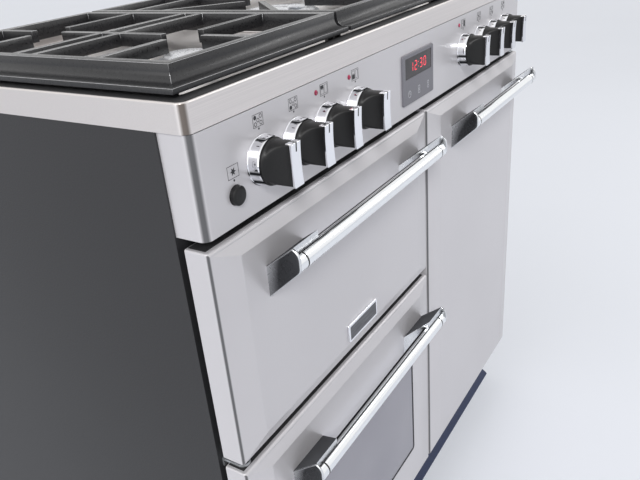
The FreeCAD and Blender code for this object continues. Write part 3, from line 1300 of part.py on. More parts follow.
def door_hinges():
    """Fixed hinge plates on the front frame, each with its pin."""
    plates = []
    for sense, spot in zip((-1, 1), drop_hinge_spots()):
        body = new_body(f"hinge_grill_{'left' if sense < 0 else 'right'}")
        start = f"{LEFT} + {spot}"
        level, deep = f"{GRILL_DOOR_BASE} + drop_hinge_height", f"{FRONT} + drop_hinge_depth"
        pad(body, "YZ", start, f"{start} + hinge_plate", draw_polygon(
            (FRAME, f"{level} - 6"), (FRAME, f"{level} + 6"),
            (deep, f"{level} + 6"), (deep, f"{level} - 6", "6")))
        pin_tip = f"{start} - 13" if sense < 0 else f"{start} + hinge_plate + 13"
        bounds = (pin_tip, start) if sense < 0 else (f"{start} + hinge_plate", pin_tip)
        pad(body, "YZ", *bounds, draw_circle(deep, level, "hinge_pin"))
        pad(body, "XZ", f"{FRAME} - plate", FRAME,
            draw_rectangle(f"{start} - 5", f"{level} - 10", f"{start} + hinge_plate + 5", f"{level} + 10"))
        plates.append(body)
    for name, left, base, width, height, mouth in DOORS[1:]:
        across = f"({left} + {hinge_spot(name, width)})"
        for end, sense, level in (("low", -1, base), ("high", 1, f"{base} + {height}")):
            body = new_body(f"hinge_{name}_{end}")
            near_face = f"({level} + ({sense})*1)"
            far_face = f"({level} + ({sense})*(1 + hinge_plate))"
            low, high = (far_face, near_face) if sense < 0 else (near_face, far_face)
            deep = f"({FRONT} + hinge_offset)"
            pad(body, "XY", low, high, draw_polygon(
                (f"{across} - 8", FRAME), (f"{across} - 8", deep),
                (f"{across} + 8", deep, "8"), (f"{across} + 8", FRAME)))
            tip = f"({level} - ({sense})*13)"
            pin_low, pin_high = (near_face, tip) if sense < 0 else (tip, near_face)
            pad(body, "XY", pin_low, pin_high, draw_circle(across, deep, "hinge_pin"))
            pad(body, "XZ", f"{FRAME} - plate", FRAME,
                draw_rectangle(f"{across} - 8", f"{low} - 8", f"{across} + 8", high))
            plates.append(body)
    return node(group("door_hinges", *plates))


def handle_arm(label, outer, sense, top):
    """Cast arm with a flat end plate and a flared inner side, and an open channel for the bar in front."""
    face, nose = f"({FRONT} - field_rise)", f"({FRONT} - handle_reach)"
    crest = (f"{FRONT} - arm_crest_reach", f"{top} - arm_crest_drop")
    axis_deep, axis_level = f"({FRONT} - bar_reach)", f"({top} - bar_drop)"

    def span(near_end, far_end):
        """Two distances from the outer face of the arm, as a rising pair."""
        ends = (f"{outer} + ({sense})*({near_end})", f"{outer} + ({sense})*({far_end})")
        return ends if sense > 0 else ends[::-1]

    body = new_body(label)
    pad(body, "YZ", *span("0", "arm_length + arm_flare"), draw_polygon(
        (face, f"{top} - arm_low"), (face, f"{top} - arm_high"), crest,
        (nose, f"{top} - arm_nose_drop", "arm_nose"), (nose, axis_level),
        (f"{FRONT} - arm_chin_reach", f"{top} - arm_chin_drop", "(handle_reach - bar_reach)")))
    soften(body, "Chamfer", "0.8", lambda edge, mid: near(mid.x, outer) and mid.y < number(face) - 1)
    tip, root = (f"{outer} + ({sense})*{reach}" for reach in ("arm_length", "(arm_length + arm_flare)"))
    pocket(body, "XY", f"{top} - arm_low - 1", f"{top} - arm_crest_drop + 1",
           draw_polygon((tip, nose), (tip, f"{nose} - 1"), (root, f"{nose} - 1"), (root, face)))
    pocket(body, "YZ", *span("arm_plate", "arm_length + arm_flare"),
           draw_rectangle(f"{nose} - 1", f"{top} - arm_chin_drop - 4", crest[0], f"{crest[1]} + 1"))
    pocket(body, "YZ", *span("arm_plate", "arm_length + arm_flare"),
           draw_circle(axis_deep, axis_level, "bar_diameter"))
    return body


def handle(name, left, top, inset_left, inset_right, width):
    """Bar handle: a tube with a groove near each end, held in two cast arms."""
    start, end = f"({left} + {inset_left})", f"({left} + {width} - {inset_right})"
    axis_deep, axis_level = f"({FRONT} - bar_reach)", f"({top} - bar_drop)"
    node(group(f"{name}_handle_ends", handle_arm(f"{name}_handle_left_arm", start, 1, top),
               handle_arm(f"{name}_handle_right_arm", end, -1, top)))
    bar = new_body(f"{name}_handle_bar")
    pad(bar, "YZ", f"{start} + arm_plate", f"{end} - arm_plate",
        draw_circle(axis_deep, axis_level, "bar_diameter"),
        draw_circle(axis_deep, axis_level, "bar_diameter - 4"))
    for groove in (f"{start} + bar_groove_inset", f"{end} - bar_groove_inset - bar_groove"):
        pocket(bar, "YZ", groove, f"{groove} + bar_groove",
               draw_circle(axis_deep, axis_level, "bar_diameter + 1"),
               draw_circle(axis_deep, axis_level, "bar_diameter - 1.6"))
    return node(bar)


def window_glass():
    """Outer pane flush in the skin, its gasket, and the inner pane on the liner."""
    left, low = "window_left", "window_base"
    pane = new_body("window_pane")
    pad(pane, "XZ", "0 - field_rise + 0.3", "0 - field_rise + 4.3", window_outline("-3"))
    node(place(pane, LEFT, FRONT, "door_base"))
    gasket = new_body("window_gasket")
    pad(gasket, "XZ", "0 - field_rise - 0.4", "0 - field_rise + 5", window_outline(), window_outline("-3"))
    node(place(gasket, LEFT, FRONT, "door_base"))
    inner = new_body("inner_pane")
    back = "door_depth + plug_depth - sheet"
    pad(inner, "XZ", f"{back} - 4", back,
        draw_rounded(f"{left} + 2", f"{low} + 2", f"{left} + window_width - 2",
                     f"{low} + window_height - 2", "window_radius"))
    return node(place(inner, LEFT, FRONT, "door_base"))


def badge_plate():
    """Bare plate on the grill door, with a softened edge."""
    body = new_body("badge_plate")
    low = f"{DOOR_TOP} - badge_low"
    face = f"{FRONT} - field_rise"
    pad(body, "XZ", f"{face} - 3", face,
        draw_rounded(f"{LEFT} + badge_left", low, f"{LEFT} + badge_left + badge_width",
                     f"{low} + badge_height", "3"))
    soften(body, "Fillet", "1", lambda edge, mid: near(mid.y, f"{face} - 3"))
    return node(body)


# ---------------------------------------------------------------- assembly

def build():
    base_frame()
    levelling_feet()
    plinth()
    side_panel("side_panel_left", LEFT, 1)
    side_panel("side_panel_right", RIGHT, -1)
    back_panel()
    front_frame()
    grill, main, tall = oven_mouths()
    oven_liner(*grill, rails=("rail_first_grill", "0", 1), ports=element_ports())
    oven_liner(*main, rails=("rail_first", "rail_step", 4),
               ports=[(LEFT_OVEN_CENTRE, FAN_LEVEL, "fan_shaft + fan_port_clearance")])
    oven_liner(*tall, rails=("rail_first", "rail_step", 8), ports=[])
    door_seals()
    oven_fan(LEFT_OVEN_CENTRE, FAN_LEVEL)
    fan_motor(LEFT_OVEN_CENTRE, FAN_LEVEL)
    fan_cover(LEFT_OVEN_CENTRE, FAN_LEVEL)
    grill_element()
    oven_racks()
    hob_plate()
    hob_trim()
    rear_vent()
    for index, side in enumerate(("left", "centre", "right")):
        pan_support(f"pan_support_{side}", index)
    burner_cups()
    burner_crowns()
    burner_caps()
    spark_electrodes()
    gas_rail()
    gas_taps()
    panel_switches()
    control_panel()
    clock_module()
    clock_display()
    knob_bezels()
    for index, across in enumerate(knob_places(), start=1):
        knob(index, across)
    ignition_button()
    neon_lamps()
    for name, left, base, width, height, mouth in DOORS:
        door_skin(name, left, base, width, height)
        door_liner(name, left, base, width, height, mouth)
    handle("grill", LEFT, DOOR_TOP, "handle_inset", "handle_end_inset", "left_door_width")
    handle("main", LEFT, f"({DOOR_TOP} - handle_row)", "handle_inset", "handle_end_inset", "left_door_width")
    handle("tall", TALL_DOOR_LEFT, DOOR_TOP, "tall_handle_inset", "handle_end_inset", "tall_door_width")
    window_glass()
    badge_plate()
    door_hinges()


def check_document():
    doc.recompute()
    for item in doc.Objects:
        if "Invalid" in item.State or "Error" in item.State:
            raise RuntimeError(f"{item.Label} did not build: {item.State}")
    for item in NODES:
        if item.Shape.isNull() or not item.Shape.isValid() or not item.Shape.Solids:
            raise RuntimeError(f"{item.Label} has no valid solid")


def export():
    os.makedirs("parts", exist_ok=True)
    for item in NODES:
        item.Shape.exportStep(f"parts/{item.Label}.step")
        print(item.Label, len(item.Shape.Solids), "solids", round(item.Shape.Volume), "mm3")
    print(len(NODES), "nodes")


build()
check_document()
export()
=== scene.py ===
"""Looks of a range cooker with three doors: finishes, fine pieces, floor, light and camera."""

import json
import math

import bmesh
import bpy
from mathutils import Matrix, Quaternion, Vector


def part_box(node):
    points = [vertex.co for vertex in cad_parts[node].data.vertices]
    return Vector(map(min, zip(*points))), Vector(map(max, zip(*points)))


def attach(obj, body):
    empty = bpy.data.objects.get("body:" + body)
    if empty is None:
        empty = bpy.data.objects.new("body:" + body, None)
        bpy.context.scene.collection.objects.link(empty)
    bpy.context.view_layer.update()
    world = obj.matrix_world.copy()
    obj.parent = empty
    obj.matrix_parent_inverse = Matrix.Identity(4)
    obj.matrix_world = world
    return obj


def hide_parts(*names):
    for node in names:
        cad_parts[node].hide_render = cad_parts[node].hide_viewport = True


bl_info = {
    "name": "Range Cooker Looks",
    "version": (1, 0, 0),
    "blender": (4, 5, 0),
    "location": "3D View > Sidebar > Cooker",
    "description": "Finishes and fine pieces of a range cooker, built round its solids",
    "category": "Object",
}

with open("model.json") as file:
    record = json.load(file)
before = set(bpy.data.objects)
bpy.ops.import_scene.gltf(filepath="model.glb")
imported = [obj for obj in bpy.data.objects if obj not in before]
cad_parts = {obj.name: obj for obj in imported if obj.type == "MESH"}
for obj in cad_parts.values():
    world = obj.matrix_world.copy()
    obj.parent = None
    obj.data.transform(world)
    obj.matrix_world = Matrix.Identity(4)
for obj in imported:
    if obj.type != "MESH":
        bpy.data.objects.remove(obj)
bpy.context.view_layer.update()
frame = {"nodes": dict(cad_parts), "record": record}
PANEL_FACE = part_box("control_panel")[0].y

DOORS = ("grill", "main", "tall")
KNOBS = range(1, 9)
BURNER_OF_KNOB = {1: "rear_left", 2: "front_left", 6: "centre", 7: "front_right", 8: "rear_right"}
OVEN_OF_KNOB = {3: "grill", 4: "main", 5: "tall"}
# Middle of each burner in a sign, in shares of the sign's width and height
BURNER_SPOTS = {"rear_left": (-0.27, 0.25), "front_left": (-0.27, -0.25), "centre": (0.0, 0.0),
                "front_right": (0.27, -0.25), "rear_right": (0.27, 0.25)}
# Middle, width and height of each oven in a sign, in the same shares
OVEN_CELLS = {"grill": (-0.22, 0.22, 0.4, 0.3), "main": (-0.22, -0.16, 0.4, 0.4),
              "tall": (0.24, 0.0, 0.34, 0.74)}
CLOCK_TIME = "1230"
# Lit bars of each digit: a on top, then clockwise to f, and g in the middle
BARS_OF_DIGIT = {"0": "abcdef", "1": "bc", "2": "abged", "3": "abgcd"}

SIGN_STEPS = 18
KNOB_STEPS = 72
BAR_STEPS = 64
RING_STEPS = 48
SCOOP_STEPS = 16
NOSE_STEPS = 12
CORNER_STEPS = 6
SCREW_STEPS = 16
SPARK_TIPS = 6
GRIP_SQUARENESS = 12
WHITE = (1.0, 1.0, 1.0, 1.0)
# Places of the colour sockets among the sockets of a mix node
MIX_FIRST, MIX_SECOND, MIX_RESULT = 6, 7, 2


# ---------------------------------------------------------------- settings

def tone(red, green, blue):
    """Linear colour of three screen values from 11 to 255."""
    return tuple(((part / 255 + 0.055) / 1.055) ** 2.4 for part in (red, green, blue))


def amount(name, description, default, **kind):
    """Setting that is a number."""
    return bpy.props.FloatProperty(name=name, description=description, default=default, **kind)


def length(name, description, default):
    """Setting in metres."""
    return amount(name, description, default, min=0.0, precision=5, subtype="DISTANCE", unit="LENGTH")


def angle(name, description, degrees):
    """Setting that is an angle."""
    return amount(name, description, math.radians(degrees), subtype="ANGLE")


def place(name, description, default):
    """Setting that is a point."""
    return bpy.props.FloatVectorProperty(
        name=name, description=description, default=default, size=3, subtype="TRANSLATION", unit="LENGTH")


def colour(name, description, *screen):
    """Setting that is a colour, from screen values."""
    return bpy.props.FloatVectorProperty(
        name=name, description=description, default=tone(*screen), size=3, min=0.0, max=1.0, subtype="COLOR")


class FinishColours(bpy.types.PropertyGroup):
    paint: colour("Silver paint", "Doors and control panel", 202, 200, 203)
    paint_cloud: colour("Paint cloud", "Slightly deeper tone in the silver paint", 197, 195, 198)
    # Painted reflection: the dark tone on the rounded upright edges of the silver paint
    paint_edge_reflection: colour("Paint edge", "Silver paint on the rounded upright edges", 92, 92, 94)
    brushed: colour("Brushed steel", "Hob trim and hob plate", 228, 223, 221)
    brushed_streak: colour("Brushed streak", "Deeper streaks of the brushed steel", 216, 211, 209)
    # Painted reflection: the dark tone on the rounded upright edges of the brushed steel
    brushed_edge_reflection: colour("Brushed edge", "Brushed steel on the rounded upright edges", 120, 112, 106)
    polished: colour("Polished steel", "Handle bars", 240, 242, 244)
    # Painted reflection: the dark streaks painted into bright metal
    painted_reflection: colour("Shade", "Dark streaks in the bright metal", 30, 31, 34)
    arm: colour("Handle arm", "Cast handle arms", 214, 216, 219)
    # Painted reflection: the dark tone on the upper faces of the handle arms
    arm_top_reflection: colour("Arm top", "Upper faces of the handle arms", 84, 85, 88)
    # Painted reflection: the dark tone on the flat outer faces of the handle arms
    arm_end_reflection: colour("Arm end", "Flat outer faces of the handle arms", 66, 67, 69)
    chrome: colour("Chrome", "Bezels and the strips on the knobs", 240, 241, 245)
    charcoal: colour("Charcoal paint", "Side panels and plinth", 46, 46, 48)
    plastic: colour("Black plastic", "Knobs", 19, 19, 20)
    iron: colour("Cast iron", "Pan supports", 26, 26, 28)
    # Painted highlight: the bright tone on the rounded upper edges of the pan supports
    iron_edge_highlight: colour("Cast iron edge", "Worn upper edges of the pan supports", 228, 228, 231)
    enamel: colour("Black enamel", "Oven linings and front frame", 20, 20, 23)
    alloy: colour("Burner alloy", "Burner cups and crowns", 214, 216, 220)
    cap: colour("Burner cap", "Caps on the burners", 222, 223, 226)
    clock_frame: colour("Clock frame", "Grey frame of the clock", 113, 112, 119)
    display: colour("Display", "Dark glass of the clock", 26, 21, 23)
    digit: colour("Digits", "Lit digits of the clock", 255, 74, 92)
    neon: colour("Neon lens", "Signal lamps", 176, 44, 84)
    window: colour("Window glass", "Coated glass of the oven window", 160, 159, 168)
    ink: colour("Panel ink", "Printed marks on the panel", 24, 24, 28)
    # Painted shadow: the dark blue strip on the floor along the plinth
    floor_shadow: colour("Plinth lip", "Soft lip along the foot of the plinth", 24, 34, 62)


class KnobSizes(bpy.types.PropertyGroup):
    radius: length("Radius", "Radius of a knob's round back", 0.0229)
    back: length("Back", "Panel to the back of a knob", 0.0026)
    shoulder: length("Shoulder", "Panel to the end of the round back", 0.015)
    shoulder_slope: amount("Shoulder slope", "Loss of radius over depth in front of the shoulder", 0.8)
    face_share: amount("Face share", "Least radius in front of the shoulder over the radius behind it", 0.945)
    scoop_start: length("Scoop start", "Panel to the start of the scoops", 0.016)
    scoop_end: length("Scoop end", "Panel to the end of the scoops", 0.035)
    scoop_radius: length("Scoop radius", "Radius of the scoops beside the grip", 0.026)
    grip_half: length("Grip half width", "Half the width of the grip", 0.0074)
    nose: length("Nose", "Panel to the nose of the strip", 0.041)
    nose_dip: length("Nose dip", "Depth of the hollow along the nose", 0.001)
    strip_depth: length("Strip depth", "Depth of the strip over the nose", 0.0032)
    strip_half_height: length("Strip half height", "Half the height of the strip", 0.0216)
    strip_fold: length("Strip fold", "Length of the strip along the top of the grip", 0.0075)
    strip_thickness: length("Strip thickness", "Thickness of the strip along the top of the grip", 0.0012)
    strip_overhang: length("Strip overhang", "Side of the grip to the side of the strip", 0.0001)
    pointer_width: length("Pointer width", "Width of the dark pointer in the strip", 0.0019)
    pointer_length: length("Pointer length", "Length of the pointer down the nose", 0.009)
    pointer_fold: length("Pointer fold", "Length of the pointer along the top", 0.0035)
    pointer_rise: length("Pointer rise", "Height of the pointer over the strip", 0.00006)


class SignSizes(bpy.types.PropertyGroup):
    width: length("Width", "Width of a burner or oven sign", 0.016)
    height: length("Height", "Height of a burner or oven sign", 0.0125)
    frame_line: length("Frame line", "Width of the line round a sign", 0.00042)
    ring_line: length("Ring line", "Width of the line round a burner", 0.0006)
    cell_line: length("Cell line", "Width of the line round an oven", 0.0003)
    burner: length("Burner", "Radius of a burner in a sign", 0.0021)
    dot: length("Dot", "Radius of the dot below a sign", 0.0011)
    rise: length("Rise", "Knob axis to the middle of its sign", 0.039)
    dot_rise: length("Dot rise", "Knob axis to the dot above it", 0.0309)
    spark_rise: length("Spark rise", "Top of the ignition button to the middle of its sign", 0.0135)
    spark_dot_rise: length("Spark dot rise", "Top of the ignition button to the dot above it", 0.005)
    spark_outer: length("Spark tip", "Middle of the spark to its tips", 0.00425)
    spark_inner: length("Spark notch", "Middle of the spark to its notches", 0.001875)
    ink: length("Ink", "Thickness of the print", 0.00012)


class BezelSizes(bpy.types.PropertyGroup):
    bore: length("Bore", "Radius of the bore of a bezel", 0.0234)
    taper: length("Taper", "Loss of radius from the foot of a bezel to its rim", 0.0012)
    tick_count: bpy.props.IntProperty(name="Ticks", description="Ticks on each bezel", default=7, min=2)
    tick_half_arc: angle("Tick half arc", "Upright to the last tick on each side", 38)
    tick_sink: length("Tick sink", "Foot radius of a bezel to the middle of its ticks", 0.00072)
    tick_place: amount("Tick place", "Share of a bezel's depth at which its ticks lie", 0.62)
    tick_width: length("Tick width", "Width of a tick", 0.0007)
    tick_length: length("Tick length", "Length of a tick", 0.0032)
    tick_height: length("Tick height", "Thickness of a tick", 0.0004)


class ClockSizes(bpy.types.PropertyGroup):
    digit_height: length("Digit height", "Height of a digit", 0.0125)
    digit_width: length("Digit width", "Width of a digit", 0.0074)
    digit_pitch: length("Digit pitch", "Distance between neighbouring digits", 0.0126)
    colon_gap: length("Colon gap", "Extra distance from the digits to the colon", 0.002)
    stroke: length("Stroke", "Width of a lit bar", 0.0011)
    touch_rise: length("Touch rise", "Bottom of the clock frame to the touch signs", 0.0135)
    touch_pitch: length("Touch pitch", "Distance between the touch signs", 0.030)
    touch_radius: length("Touch radius", "Radius of a touch sign", 0.0048)
    touch_line: length("Touch line", "Width of a line in a touch sign", 0.00096)
    ink: length("Ink", "Thickness of the lit bars and the touch signs", 0.0001)


class HandleSizes(bpy.types.PropertyGroup):
    chamfer: length("Chamfer", "Chamfer at the ends of a bar", 0.0006)
    groove_inset: length("Groove inset", "End of a bar to its groove", 0.0125)
    groove_width: length("Groove width", "Width of a groove and of the dark ring in it", 0.0019)
    groove_depth: length("Groove depth", "Depth of a groove", 0.0009)
    groove_flank: length("Groove flank", "Length over which a groove starts", 0.0002)
    ring_bulge: length("Ring bulge", "Height of the dark ring over the bar", 0.0002)


class EdgeSizes(bpy.types.PropertyGroup):
    support: length("Support edge", "Rounding along the pan supports", 0.0013)
    arm: length("Arm edge", "Rounding along the handle arms", 0.0014)
    cap: length("Cap edge", "Rounding of the burner caps", 0.0008)
    plate: length("Plate edge", "Rounding of the bare plate", 0.0006)
    strip: length("Strip edge", "Rounding of the strips on the knobs", 0.0005)


class TrimSizes(bpy.types.PropertyGroup):
    # Door strip: partly the black inner liner, partly painted shade in the gap above each door
    strip_start: length("Strip start", "Door front to the dark strip on its top", 0.0062)
    strip_end: length("Strip end", "Door front to the far side of the dark strip on its top", 0.027)
    strip_height: length("Strip height", "Height of the dark strip on a door's top", 0.0004)
    strip_sink: length("Strip sink", "Depth of the dark strip in a door's top", 0.0002)
    strip_margin: length("Strip margin", "Side of a door to the end of its dark strip", 0.004)
    # Painted shade: the black strip on the hob trim under the pan supports
    shade_strip_start: length("Gasket start", "Side of the hob trim to its gasket", 0.0024)
    shade_strip_end: length("Gasket end", "Side of the hob trim to the far side of its gasket", 0.0205)
    shade_strip_height: length("Gasket height", "Height of the gasket over the trim", 0.0004)
    shade_strip_sink: length("Gasket sink", "Depth of the gasket in the trim", 0.0001)
    shade_strip_corner: length("Gasket corner", "Radius of the gasket's corners", 0.0065)
    # Sizes of the dark blue strip that paints the floor's shadow along the plinth
    floor_shadow_reach: length("Lip reach", "Plinth to the front of its lip", 0.026)
    floor_shadow_height: length("Lip height", "Floor to the top of the plinth's lip", 0.02)
    floor_shadow_thickness: length("Lip thickness", "Thickness of the plinth's lip", 0.003)
    floor_shadow_gap: length("Lip gap", "Floor to the underside of the plinth's lip", 0.0004)
    toe_length: length("Toe length", "Front of the lip to the edge of its blunt toe", 0.00182)
    toe_height: length("Toe height", "Floor to the edge of the lip's blunt toe", 0.004)
    plate_rim: length("Plate rim", "Bright rim round the field of the bare plate", 0.0035)
    plate_field: length("Plate field", "Thickness of the field of the bare plate", 0.00012)


class ScrewSizes(bpy.types.PropertyGroup):
    head_radius: length("Head radius", "Radius of a screw head", 0.0042)
    head_height: length("Head height", "Height of a screw head", 0.0019)
    head_gap: length("Head gap", "Rear sheet to the foot of a screw head", 0.000038)
    top_share: amount("Top share", "Radius of a head's flat top over the radius of its foot", 0.62)
    slot_width: length("Slot width", "Width of the crossed slot", 0.0007)
    slot_rise: length("Slot rise", "Foot of a head to the middle of its slot", 0.00105)
    pitch: length("Pitch", "Distance between screws along the rear sheet", 0.118)
    edge: length("Edge", "Edge of the rear sheet to its screws", 0.009)


class StageSizes(bpy.types.PropertyGroup):
    floor: length("Floor", "Width of the floor", 40.0)
    floor_tone: colour("Floor colour", "Plain pale floor", 240, 243, 250)
    sky: amount("Sky", "Strength of the even light", 0.4, min=0.0)
    key: amount("Key", "Strength of the slanting light", 2.1, min=0.0)
    key_angle: angle("Key angle", "Apparent size of the slanting light", 16)
    key_place: place("Key place", "Where the slanting light is drawn in the scene", (-2.0, -2.0, 3.0))
    key_travel: bpy.props.FloatVectorProperty(
        name="Key travel", description="Direction in which the slanting light travels",
        default=(0.68, 0.44, -0.59), size=3, subtype="DIRECTION")
    strip_power: amount("Strip light", "Power of the strip light", 12.0, min=0.0, subtype="POWER")
    strip_width: length("Strip width", "Width of the strip light", 0.5)
    strip_height: length("Strip height", "Height of the strip light", 2.2)
    strip_place: place("Strip place", "Where the strip light stands", (2.4, -1.7, 2.3))
    strip_aim: place("Strip aim", "Point that the strip light looks at", (0.0, -0.1, 0.8))
    side_power: amount("Side light", "Power of the light beside the cooker", 14.0, min=0.0, subtype="POWER")
    side_width: length("Side width", "Width and height of the light beside the cooker", 2.0)
    side_place: place("Side place", "Where the light beside the cooker stands", (-3.0, 0.2, 1.4))
    side_aim: place("Side aim", "Point that the light beside the cooker looks at", (-0.45, 0.0, 0.7))
    camera_place: place("Camera place", "Where the camera stands", (-0.83353, -0.6575, 1.03385))
    camera_aim: place("Camera aim", "Point in the middle of the view", (-0.08965, -0.1548, 0.59347))
    camera_roll: angle("Camera roll", "Turn about the line of sight", -5.125)
    focal: amount("Focal length", "Focal length of the camera", 37.54, subtype="DISTANCE_CAMERA")


def group(kind, name, description):
    """Settings of one kind of piece."""
    return bpy.props.PointerProperty(type=kind, name=name, description=description)


class CookerSettings(bpy.types.PropertyGroup):
    colours: group(FinishColours, "Colours", "Base tones of the finishes")
    knobs: group(KnobSizes, "Knobs", "Knobs with their strips and pointers")
    signs: group(SignSizes, "Signs", "Prints above the knobs")
    bezels: group(BezelSizes, "Bezels", "Rings round the knobs and their ticks")
    clock: group(ClockSizes, "Clock", "Digits and touch signs")
    handles: group(HandleSizes, "Handles", "Grooves and ends of the handle bars")
    edges: group(EdgeSizes, "Edges", "Roundings of cast and pressed pieces")
    # The door strips are partly painted shade, the hob strip is painted shade, and the strip at the plinth's
    # foot is a painted shadow
    trim: group(TrimSizes, "Trim", "Door strips, hob gasket, plinth lip and bare plate")
    screws: group(ScrewSizes, "Screws", "Screws in the rear sheet")
    stage: group(StageSizes, "Stage", "Floor, light and camera")


# ---------------------------------------------------------------- nodes

def add_node(tree, kind, inputs, **settings):
    """Outputs of a new node whose inputs are plain values or links from other nodes' outputs."""
    node = tree.nodes.new(kind)
    for name, value in settings.items():
        setattr(node, name, value)
    for socket, value in inputs.items():
        if isinstance(value, bpy.types.NodeSocket):
            tree.links.new(value, node.inputs[socket])
        else:
            node.inputs[socket].default_value = value
    return node.outputs


class Surface:
    """A material under construction: pattern nodes on object coordinates that feed one shader."""

    def __init__(self, name):
        self.material = bpy.data.materials.new(name)
        self.material.use_nodes = True
        self.tree = self.material.node_tree
        self.shader = self.tree.nodes["Principled BSDF"]
        self.place = self.node("ShaderNodeTexCoord", {})

    def node(self, kind, inputs, **settings):
        return add_node(self.tree, kind, inputs, **settings)

    def set(self, socket, value):
        self.shader.inputs[socket].default_value = value

    def link(self, output, socket):
        self.tree.links.new(output, self.shader.inputs[socket])

    def start(self, base, roughness=0.5, metallic=0.0):
        """Plain values, some of which the patterns then take over."""
        self.base = base
        self.metallic = metallic
        self.set("Base Color", (*base, 1.0))
        self.set("Roughness", roughness)
        self.set("Metallic", metallic)

    def scaled(self, scale):
        """Object coordinates times one number, or times one for each axis."""
        scales = scale if isinstance(scale, tuple) else (scale,) * 3
        return self.node("ShaderNodeMapping", {"Vector": self.place["Object"], "Scale": scales})["Vector"]

    def noise(self, scale, detail=2.0):
        inputs = {"Vector": self.scaled(scale), "Scale": 1.0, "Detail": detail}
        return self.node("ShaderNodeTexNoise", inputs)["Fac"]

    def cells(self, size):
        return self.node("ShaderNodeTexVoronoi", {"Vector": self.scaled(1 / size), "Scale": 1.0})

    def spread(self, value, low, high, start=0.0, end=1.0):
        """The value mapped from low…high to start…end, held at both ends."""
        inputs = {"Value": value, "From Min": low, "From Max": high, "To Min": start, "To Max": end}
        return self.node("ShaderNodeMapRange", inputs)["Result"]

    def blend(self, factor, first, second):
        """Two colours, each plain or another blend, mixed by the factor."""
        inputs = {"Factor": factor}
        for socket, part in ((MIX_FIRST, first), (MIX_SECOND, second)):
            inputs[socket] = part if isinstance(part, bpy.types.NodeSocket) else (*part, 1.0)
        return self.node("ShaderNodeMix", inputs, data_type="RGBA")[MIX_RESULT]

    def maths(self, operation, *parts):
        return self.node("ShaderNodeMath", dict(enumerate(parts)), operation=operation)["Value"]

    def larger(self, first, second):
        return self.maths("MAXIMUM", first, second)

    def normal_parts(self):
        return self.node("ShaderNodeSeparateXYZ", {"Vector": self.place["Normal"]})

    def band(self, value, low, high):
        """1 where the value lies between low and high, with soft ends."""
        soft = (high - low) / 4
        return self.maths("MULTIPLY", self.spread(value, low - soft, low + soft),
                          self.spread(value, high - soft, high + soft, 1.0, 0.0))

    def painted_edge_reflection(self):
        """1 on the rounded upright edges, which look half sideways, and 0 on the flat faces: where a dark
        reflection is painted.
        """
        parts = self.normal_parts()
        sideways, forwards = (self.maths("ABSOLUTE", parts[axis]) for axis in ("X", "Y"))
        return self.spread(self.maths("MULTIPLY", sideways, forwards), 0.24, 0.46)

    def tint(self, pattern, second, low=0.3, high=0.7):
        """Base colour that becomes the second one as the pattern goes from low to high."""
        self.link(self.blend(self.spread(pattern, low, high), self.base, second), "Base Color")

    def gloss(self, pattern, smooth, dull, low=0.3, high=0.7):
        """Roughness from smooth to dull as the pattern goes from low to high."""
        self.link(self.spread(pattern, low, high, smooth, dull), "Roughness")

    def painted_reflection(self, mask, bright, dark):
        """Paints reflection into bright metal: matt dark colour where the mask is 1."""
        self.link(self.blend(mask, bright, dark), "Base Color")
        self.link(self.spread(mask, 0.0, 1.0, self.metallic, 0.0), "Metallic")
        self.link(self.spread(mask, 0.0, 1.0, 0.5, 0.0), "Specular IOR Level")

    def relief(self, height, distance, strength):
        inputs = {"Height": height, "Distance": distance, "Strength": strength}
        self.link(self.node("ShaderNodeBump", inputs)["Normal"], "Normal")


# ---------------------------------------------------------------- finishes

def silver_paint(surface, shades):
    """Sprayed silver: fine flakes, soft clouds, and a painted dark reflection where the sheet turns an
    upright edge.
    """
    surface.start(shades.paint, metallic=0.3)
    cloud = surface.spread(surface.noise(3.0), 0.35, 0.65)
    flat = surface.blend(cloud, shades.paint, shades.paint_cloud)
    # Painted reflection: the rounded upright edges turn dark
    surface.link(surface.blend(surface.painted_edge_reflection(), flat, shades.paint_edge_reflection), "Base Color")
    flake = surface.noise(1400.0, detail=1.0)
    surface.gloss(flake, 0.28, 0.42)
    surface.relief(flake, distance=0.00002, strength=0.25)


def stainless(surface, shades):
    """Steel sheet brushed along its length, with a painted dark reflection on its rounded upright edges."""
    surface.start(shades.brushed, metallic=0.95)
    grain = surface.noise((4.0, 2200.0, 2200.0))
    streak = surface.blend(surface.spread(grain, 0.3, 0.7), shades.brushed_streak, shades.brushed)
    # Painted reflection: the rounded upright edges turn dark
    surface.link(surface.blend(surface.painted_edge_reflection(), streak, shades.brushed_edge_reflection), "Base Color")
    surface.gloss(grain, 0.28, 0.38, 0.25, 0.75)
    surface.relief(grain, distance=0.00002, strength=0.15)


def polished_steel(surface, shades):
    """Bright steel tube with faint drawn lines and painted dark reflections of its surroundings."""
    surface.start(shades.polished, metallic=1.0)
    parts = surface.normal_parts()
    # Painted reflection: dark streaks set by which way the tube's surface looks
    reflection_streaks = surface.larger(surface.band(parts["Y"], 0.15, 0.8), surface.band(parts["Y"], -0.3, -0.12))
    above = surface.spread(parts["Z"], 0.0, 0.2)
    surface.painted_reflection(surface.maths("MULTIPLY", reflection_streaks, above), shades.polished, shades.painted_reflection)
    surface.gloss(surface.noise((12.0, 500.0, 500.0)), 0.07, 0.2, 0.2, 0.8)


def polished_edge(surface, shades):
    """Bright rounded edges of the handle arms."""
    surface.start(shades.polished, metallic=0.9)
    surface.gloss(surface.noise(260.0), 0.1, 0.22)


